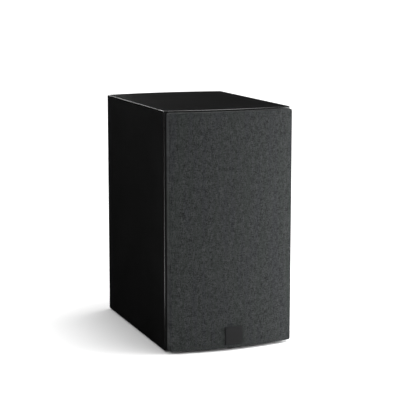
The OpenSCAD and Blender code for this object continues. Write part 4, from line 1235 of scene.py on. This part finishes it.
def knob(node, colour_name, light, dark, body, slot, flutes=12, per_flute=14):
    """A hollow knob with rounded shoulders and finger flutes that run out below its collar."""
    low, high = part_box(node)
    axis_x, axis_z = (low.x + high.x) / 2, (low.z + high.z) / 2
    outer, long, bore = (high.z - low.z) / 2, high.y - low.y, 4.06 * mm
    cutter_r, cutter_at, collar_l = 1.3 * mm, outer + 0.6 * mm, 3 * mm
    angles = [2 * math.pi * k / (flutes * per_flute) for k in range(flutes * per_flute)]

    def fluted(a):
        off = (a * flutes / (2 * math.pi) + 0.5) % 1 - 0.5
        lateral = outer * math.sin(off * 2 * math.pi / flutes)
        if abs(lateral) >= cutter_r:
            return outer
        groove = cutter_at * math.cos(off * 2 * math.pi / flutes) - math.sqrt(cutter_r**2 - lateral**2)
        return min(outer, groove)

    levels = [(0.0, -0.7 * mm, 0), (0.35 * mm, -0.15 * mm, 0), (0.8 * mm, 0, 0), (collar_l - 0.4 * mm, 0, 0),
              (collar_l, 0, 0.35), (collar_l + 0.5 * mm, 0, 0.8), (collar_l + 1.2 * mm, 0, 1)]
    levels += [(long - 1.3 * mm, 0, 1), (long - 0.7 * mm, -0.12 * mm, 1), (long - 0.25 * mm, -0.45 * mm, 1),
               (long, -1.0 * mm, 1)]
    rings = [[((outer - (outer - fluted(a)) * cut_share + shrink), a, d) for a in angles]
             for d, shrink, cut_share in levels]
    dish = [(long - 0.05 * mm, outer - 2.3 * mm), (long - 0.8 * mm, bore + 1.0 * mm),
            (long - 0.8 * mm, bore), (0.0, bore)]
    rings += [[(r, a, d) for a in angles] for d, r in dish]
    points = [(axis_x + r * math.sin(a), low.y + d, axis_z + r * math.cos(a))
              for ring in rings for r, a, d in ring]
    plastic = Finish(colour_name, light, 0.24, Coat_Weight=0.25, Coat_Roughness=0.12)
    smear = plastic.grain(3.5, 3)
    plastic.set(Roughness=0.2 + 0.2 * smear)
    plastic.paint(plastic.step(smear, 0.3, 0.75), dark, light)
    plastic.relief(plastic.grain(0.8), 0.01)
    piece = build(colour_name.replace("plastic", "knob"), points, joined(len(rings), len(angles)),
                  plastic.material, body, slot, sharp=40)
    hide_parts(node)
    return piece


knob("red_knob", "red_plastic", tint(178, 22, 24), tint(150, 14, 18), "red_grip", "red_plastic")
knob("black_knob", "black_plastic", tint(24, 24, 25), tint(17, 17, 18), "black_grip", "black_plastic")

# One blank, set by the tree at the corners of a rectangle, makes each group of small screws.
corners_of = Pattern("blanks_at_corners", Material=black_steel.material, Blank=floor, Across=0.08, Up=0.06,
                     Rotation=(0.0, 0.0, 0.0), Centre=(0.0, 0.0, 0.0))
plate = corners_of.node("MeshGrid", {"Size X": corners_of.size("Across"), "Size Y": corners_of.size("Up"),
                                     "Vertices X": 2, "Vertices Y": 2})
blank_shape = corners_of.node("ObjectInfo", {"Object": corners_of.size("Blank")}, out="Geometry")
seated = corners_of.node("InstanceOnPoints", {"Points": plate, "Instance": blank_shape})
corners_of.end(corners_of.node("Transform", {"Geometry": seated, "Rotation": corners_of.size("Rotation"),
                                             "Translation": corners_of.size("Centre")}))
small_screw = screw_blank("small_screw", 3 * mm, 1.6 * mm, 1.5 * mm, 13 * mm, 1.7 * mm,
                          black_steel.material, False)
small_screw.data.transform(Matrix.Rotation(math.pi / 2, 4, "X"))
screw_inset = 6 * mm
corners_of.make("cup_screws", "cabinet", "black_steel", ["small_screws"], Blank=small_screw,
                Across=cup_w - 2 * screw_inset, Up=cup_h - 2 * screw_inset,
                Rotation=(math.pi / 2, 0.0, 0.0), Centre=(0.0, cup_rear, cup_z))

# ---- Crossover ----
# A glass-laminate board on nylon spacers carries an air-core coil, a ferrite-bobbin coil,
# a film and an electrolytic capacitor and two cement resistors, soldered from below.
board_low, board_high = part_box("crossover_board")
board_mid = (board_low + board_high) / 2
corners_of.make(
    "board_screws", "cabinet", "black_steel", ["small_screws"], Blank=small_screw,
    Across=board_high.x - board_low.x - 2 * screw_inset, Up=board_high.y - board_low.y - 2 * screw_inset,
    Rotation=(math.pi, 0.0, 0.0), Centre=(board_mid.x, board_mid.y, board_high.z))
laminate = Finish("green_board_laminate", tint(30, 82, 48), 0.35, centre=board_mid, Coat_Weight=0.3)
track_cells = laminate.cells(0, at=laminate.stretched(17, 15, 30), distance="CHEBYCHEV", feature="F2", out=0)
track_base = laminate.cells(0, at=laminate.stretched(17, 15, 30), distance="CHEBYCHEV", out=0)
gap = laminate.step(track_cells - track_base, 0.05, 0.09)
mottle = laminate.grain(5, 3)
laminate.paint(gap, tint(20, 58, 34), laminate.blend(mottle, tint(34, 92, 54), tint(44, 108, 62)))
laminate.set(Roughness=0.3 + 0.14 * mottle)
laminate.relief(gap, 0.06)
softened("crossover_board", laminate.material, "circuit_board", 0.15)

nylon = Finish("natural_nylon", tint(222, 220, 208), 0.45)
cloud = nylon.grain(4, 2)
nylon.paint(cloud, tint(210, 207, 192), tint(232, 230, 220))
nylon.relief(nylon.grain(0.9), 0.01)
softened("board_spacers", nylon.material, "nylon_spacers", 0.3)

coil_low, coil_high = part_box("air_core_inductor")
coil_mid = (coil_low + coil_high) / 2
coil_outer, coil_l = (coil_high.x - coil_low.x) / 2, coil_high.z - coil_low.z
thick_wire, coil_bore = 0.55 * mm, 10 * mm
winding.make("air_core_winding", "cabinet", "copper_wire", ["air_core_inductor"],
             Turns=coil_l / (2 * thick_wire) - 1, Radius=coil_outer - thick_wire,
             Height=coil_l - 2 * thick_wire,
             Wire=thick_wire, Centre=(coil_mid.x, coil_mid.y, coil_low.z + thick_wire))


def upright(name, section, centre, material, slot, replaces):
    """A round piece that stands on the board: its section is (radius, height above centre)."""
    return turned_piece(name, section, centre, material, "cabinet", slot, replaces, sides=72, axis="Z")


def layered_section(inner, outer, low, high, wire):
    """A wound ring's section: scalloped ends, where each layer's last turn shows."""
    rows = int((outer - inner) / (2 * wire))
    section = [(outer, low), (outer, high)]
    for k in range(rows):
        at = outer - (k + 0.5) * (outer - inner) / rows
        half = (outer - inner) / rows / 2
        section += [(at + half * math.cos(a), high + wire * 0.8 * math.sin(a))
                    for a in np.linspace(0.3, 2.84, 4)]
    section += [(inner, high), (inner, low)]
    for k in reversed(range(rows)):
        at = outer - (k + 0.5) * (outer - inner) / rows
        half = (outer - inner) / rows / 2
        section += [(at - half * math.cos(a), low - wire * 0.8 * math.sin(a))
                    for a in np.linspace(0.3, 2.84, 4)]
    return section


foot = Vector((coil_mid.x, coil_mid.y, coil_low.z))
upright("air_core_layers",
        layered_section(coil_bore, coil_outer - 1.6 * thick_wire, thick_wire, coil_l - thick_wire,
                        thick_wire),
        foot, copper.material, "copper_wire", ["air_core_inductor"])

bobbin_low, bobbin_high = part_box("iron_core_inductor")
bobbin_foot = Vector(((bobbin_low.x + bobbin_high.x) / 2, (bobbin_low.y + bobbin_high.y) / 2, bobbin_low.z))
bobbin_h, bobbin_r = bobbin_high.z - bobbin_low.z, (bobbin_high.x - bobbin_low.x) / 2
cheek_t, drum_r = 2 * mm, 9 * mm
soft = 0.4 * mm
bobbin = [(bobbin_r - soft, 0.0), (bobbin_r, soft), (bobbin_r, cheek_t - soft), (bobbin_r - soft, cheek_t),
          (5 * mm, cheek_t), (5 * mm, bobbin_h - cheek_t), (bobbin_r - soft, bobbin_h - cheek_t),
          (bobbin_r, bobbin_h - cheek_t + soft), (bobbin_r, bobbin_h - soft), (bobbin_r - soft, bobbin_h),
          (4 * mm, bobbin_h), (4 * mm, bobbin_h - 0.5 * mm), (0.0, bobbin_h - 0.5 * mm), (0.0, 0.0)]
bobbin_plastic = Finish("bobbin_plastic", tint(34, 34, 36), 0.5)
bobbin_plastic.set(Roughness=0.42 + 0.2 * bobbin_plastic.grain(3, 3))
bobbin_plastic.relief(bobbin_plastic.grain(0.8), 0.03)
upright("coil_bobbin", bobbin, bobbin_foot, bobbin_plastic.material, "bobbin_plastic",
        ["iron_core_inductor"])
winding.make("bobbin_winding", "cabinet", "copper_wire", ["iron_core_inductor"],
             Turns=(bobbin_h - 2 * cheek_t) / (2 * thick_wire) - 1, Radius=drum_r - thick_wire,
             Height=bobbin_h - 2 * cheek_t - 2 * thick_wire, Wire=thick_wire,
             Centre=(bobbin_foot.x, bobbin_foot.y, bobbin_foot.z + cheek_t + thick_wire))
upright("bobbin_filling", [(drum_r - 1.5 * thick_wire, cheek_t + 0.1 * mm),
                           (drum_r - 1.5 * thick_wire, bobbin_h - cheek_t - 0.1 * mm),
                           (5.2 * mm, bobbin_h - cheek_t - 0.1 * mm), (5.2 * mm, cheek_t + 0.1 * mm)],
        bobbin_foot, copper.material, "copper_wire", ["iron_core_inductor"])


def lying_can(node, name, material, section, slot):
    """A capacitor on its side: its section is (radius, distance from its middle)."""
    low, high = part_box(node)
    return turned_piece(name, section, (low + high) / 2, material, "cabinet", slot, [node], sides=64,
                        axis="X")


low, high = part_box("film_capacitor")
film_r, film_half = (high.z - low.z) / 2, (high.x - low.x) / 2
wrap_film = Finish("amber_wrap_film", tint(196, 150, 44), 0.28, centre=(low + high) / 2, Coat_Weight=0.3)
bandings = wrap_film.axis("X") * (2 * math.pi / 4.0)
wrap_tone = wrap_film.grain(5, 3)
wrap_film.set(Roughness=0.24 + 0.18 * wrap_tone)
wrap_film.paint(wrap_film.step(wrap_tone, 0.3, 0.7), tint(184, 136, 36), tint(210, 166, 62))
wrap_film.relief(bandings.sum("SINE", bandings), 0.02)
lying_can("film_capacitor", "film_can", wrap_film.material, [
    (0.0, -film_half + 1.2 * mm), (film_r * 0.72, -film_half + 1.2 * mm),
    (film_r * 0.86, -film_half + 0.2 * mm), (film_r - 0.5 * mm, -film_half),
    (film_r, -film_half + 0.6 * mm), (film_r, film_half - 0.6 * mm),
    (film_r - 0.5 * mm, film_half), (film_r * 0.86, film_half - 0.2 * mm),
    (film_r * 0.72, film_half - 1.2 * mm), (0.0, film_half - 1.2 * mm)], "film_wrap")

low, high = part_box("electrolytic_capacitor")
can_r, can_half = (high.z - low.z) / 2, (high.x - low.x) / 2
sleeve = Finish("blue_shrink_sleeve", tint(34, 52, 96), 0.32, centre=(low + high) / 2, Coat_Weight=0.2)
sleeve_tone = sleeve.grain(6, 3)
end_cap = sleeve.axis("X").sum("ABSOLUTE", sleeve.axis("X")) > can_half / mm - 0.9
sleeve.set(Roughness=0.26 + 0.16 * sleeve_tone)
sleeve.paint(end_cap, sleeve.blend(sleeve_tone, tint(28, 44, 86), tint(42, 62, 108)), tint(150, 150, 152))
sleeve.relief(sleeve_tone, 0.05)
crimp = -can_half + 4 * mm
lying_can("electrolytic_capacitor", "sleeved_can", sleeve.material, [
    (0.0, -can_half + 0.6 * mm), (can_r * 0.8, -can_half + 0.6 * mm), (can_r * 0.86, -can_half),
    (can_r - 0.6 * mm, -can_half), (can_r, -can_half + 0.6 * mm), (can_r, crimp - 1 * mm),
    (can_r - 0.7 * mm, crimp - 0.3 * mm), (can_r - 0.7 * mm, crimp + 0.3 * mm), (can_r, crimp + 1 * mm),
    (can_r, can_half - 0.8 * mm), (can_r - 0.7 * mm, can_half), (can_r * 0.8, can_half),
    (can_r * 0.76, can_half - 0.4 * mm), (0.0, can_half - 0.4 * mm)], "can_sleeve")

cement = Finish("white_cement_case", tint(214, 211, 202), 0.8)
crumb = cement.grain(1.1, 4, 0.7)
cement.paint(cement.step(crumb, 0.3, 0.7), tint(196, 192, 180), tint(226, 224, 216))
cement.relief(crumb, 0.08)
softened("cement_resistors", cement.material, "cement_resistor_cases", 0.5, 3)

# Solder cones stand where the component legs come through, set by one tree from a few points.
solder = Finish("tin_solder", tint(186, 188, 192), 0.3, Metallic=1.0)
solder_tone = solder.grain(1.2, 2)
solder.set(Roughness=0.22 + 0.25 * solder_tone)
solder.relief(solder_tone, 0.05)
joint_r, joint_h = 1.5 * mm, 1.1 * mm
legs = [(coil_mid.x - 18 * mm, coil_mid.y - 20 * mm), (coil_mid.x + 18 * mm, coil_mid.y - 20 * mm),
        (bobbin_foot.x - 6 * mm, bobbin_foot.y - 16 * mm), (bobbin_foot.x + 6 * mm, bobbin_foot.y - 16 * mm)]
leg_out = 3 * mm
for node in ("film_capacitor", "electrolytic_capacitor"):
    low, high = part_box(node)
    legs += [(x, (low.y + high.y) / 2) for x in (low.x - leg_out, high.x + leg_out)]
low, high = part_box("cement_resistors")
legs += [(low.x - leg_out, y) for y in (low.y + 4 * mm, high.y - 4 * mm)]
legs_mesh = bpy.data.meshes.new("solder_places")
legs_mesh.from_pydata([(x, y, board_high.z) for x, y in legs], [], [])
leg_places = bpy.data.objects.new("solder_places", legs_mesh)
bpy.context.scene.collection.objects.link(leg_places)
solder_cones = Pattern("solder_cones", Material=solder.material, Places=leg_places, Radius=joint_r,
                       Height=joint_h)
places = solder_cones.node("ObjectInfo", {"Object": solder_cones.size("Places")}, out="Geometry")
cone_shape = solder_cones.node("MeshCone", {
    "Vertices": 14, "Side Segments": 3, "Radius Top": 0.0004, "Radius Bottom": solder_cones.size("Radius"),
    "Depth": solder_cones.size("Height")})
solder_cones.end(solder_cones.node("InstanceOnPoints", {"Points": places, "Instance": cone_shape}))
solder_cones.make("solder_joints", "cabinet", "board_laminate")
for blank in (woofer_screw, tweeter_screw, small_screw, leg_places):
    bpy.data.objects.remove(blank)

# ---- Leads ----
# Pairs of stranded wires in soft red and black insulation run from the board to the woofer's
# tags, the tweeter's tags and the binding posts.
lead_r = 1.1 * mm
board_front, board_top = board_low.y, board_high.z
stud_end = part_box("post_studs")[0].y
post_x = (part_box("black_knob")[0].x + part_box("black_knob")[1].x) / 2


def insulation(name, light, dark):
    jacket = Finish(name, light, 0.42, Specular_IOR_Level=0.4)
    scuff = jacket.grain(6, 3)
    jacket.set(Roughness=0.36 + 0.2 * scuff)
    jacket.paint(jacket.step(scuff, 0.3, 0.7), dark, light)
    jacket.relief(jacket.grain(1.0), 0.02)
    return jacket.material


jackets = {-1: insulation("red_insulation", tint(170, 26, 26), tint(146, 18, 18)),
           1: insulation("black_insulation", tint(28, 28, 29), tint(20, 20, 21))}


def woofer_route(s):
    return ([(6 * s, 51, 56.6), (6 * s, 54, 56.6), (6 * s, 57, 56.6), (8 * s + 20, 74, 52),
             (6 * s + 50, 90, -10)],
            [(5 * s + 54, -24, 60), (4 * s + 44, -4, 44), (4 * s + 34, 4, 36), (4 * s + 34, 4, 30),
             (4 * s + 34, 4, None)])


def tweeter_route(s):
    return ([(5 * s, 32, -35.4), (5 * s, 35, -35.4), (5 * s, 38, -35.4), (5 * s - 16, 56, -58),
             (4 * s - 48, 80, -100)],
            [(4 * s - 56, -26, 80), (4 * s - 46, -5, 46), (4 * s - 36, 4, 36), (4 * s - 36, 4, 30),
             (4 * s - 36, 4, None)])


def from_driver(parts, middle):
    """Route points in metres: first from a driver's front centre, then from the board's front edge."""
    near, far = parts
    return ([(x * mm, middle.y + y * mm, middle.z + z * mm) for x, y, z in near]
            + [(x * mm, board_front + y * mm, board_top if z is None else z * mm) for x, y, z in far])


def input_route(s):
    return ([(s * post_x, stud_end, cup_z), (s * post_x, stud_end - 3 * mm, cup_z),
             (s * post_x, stud_end - 6 * mm, cup_z)]
            + [(x * s * mm, board_front + y * mm, board_top if z is None else z * mm)
               for x, y, z in ((12, 88, 70), (6, 82, 46), (5, 79, 36), (5, 79, 30), (5, 79, None))])


for side, colour in ((-1, "red"), (1, "black")):
    for node, route in (("woofer_leads", from_driver(woofer_route(side), woofer_centre)),
                        ("tweeter_leads", from_driver(tweeter_route(side), tweeter_centre)),
                        ("input_leads", input_route(side))):
        wire_piece, _ = lead(node.replace("leads", "lead_") + colour, [route], lead_r, jackets[side])
        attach(wire_piece, "cabinet")
        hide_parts(node)
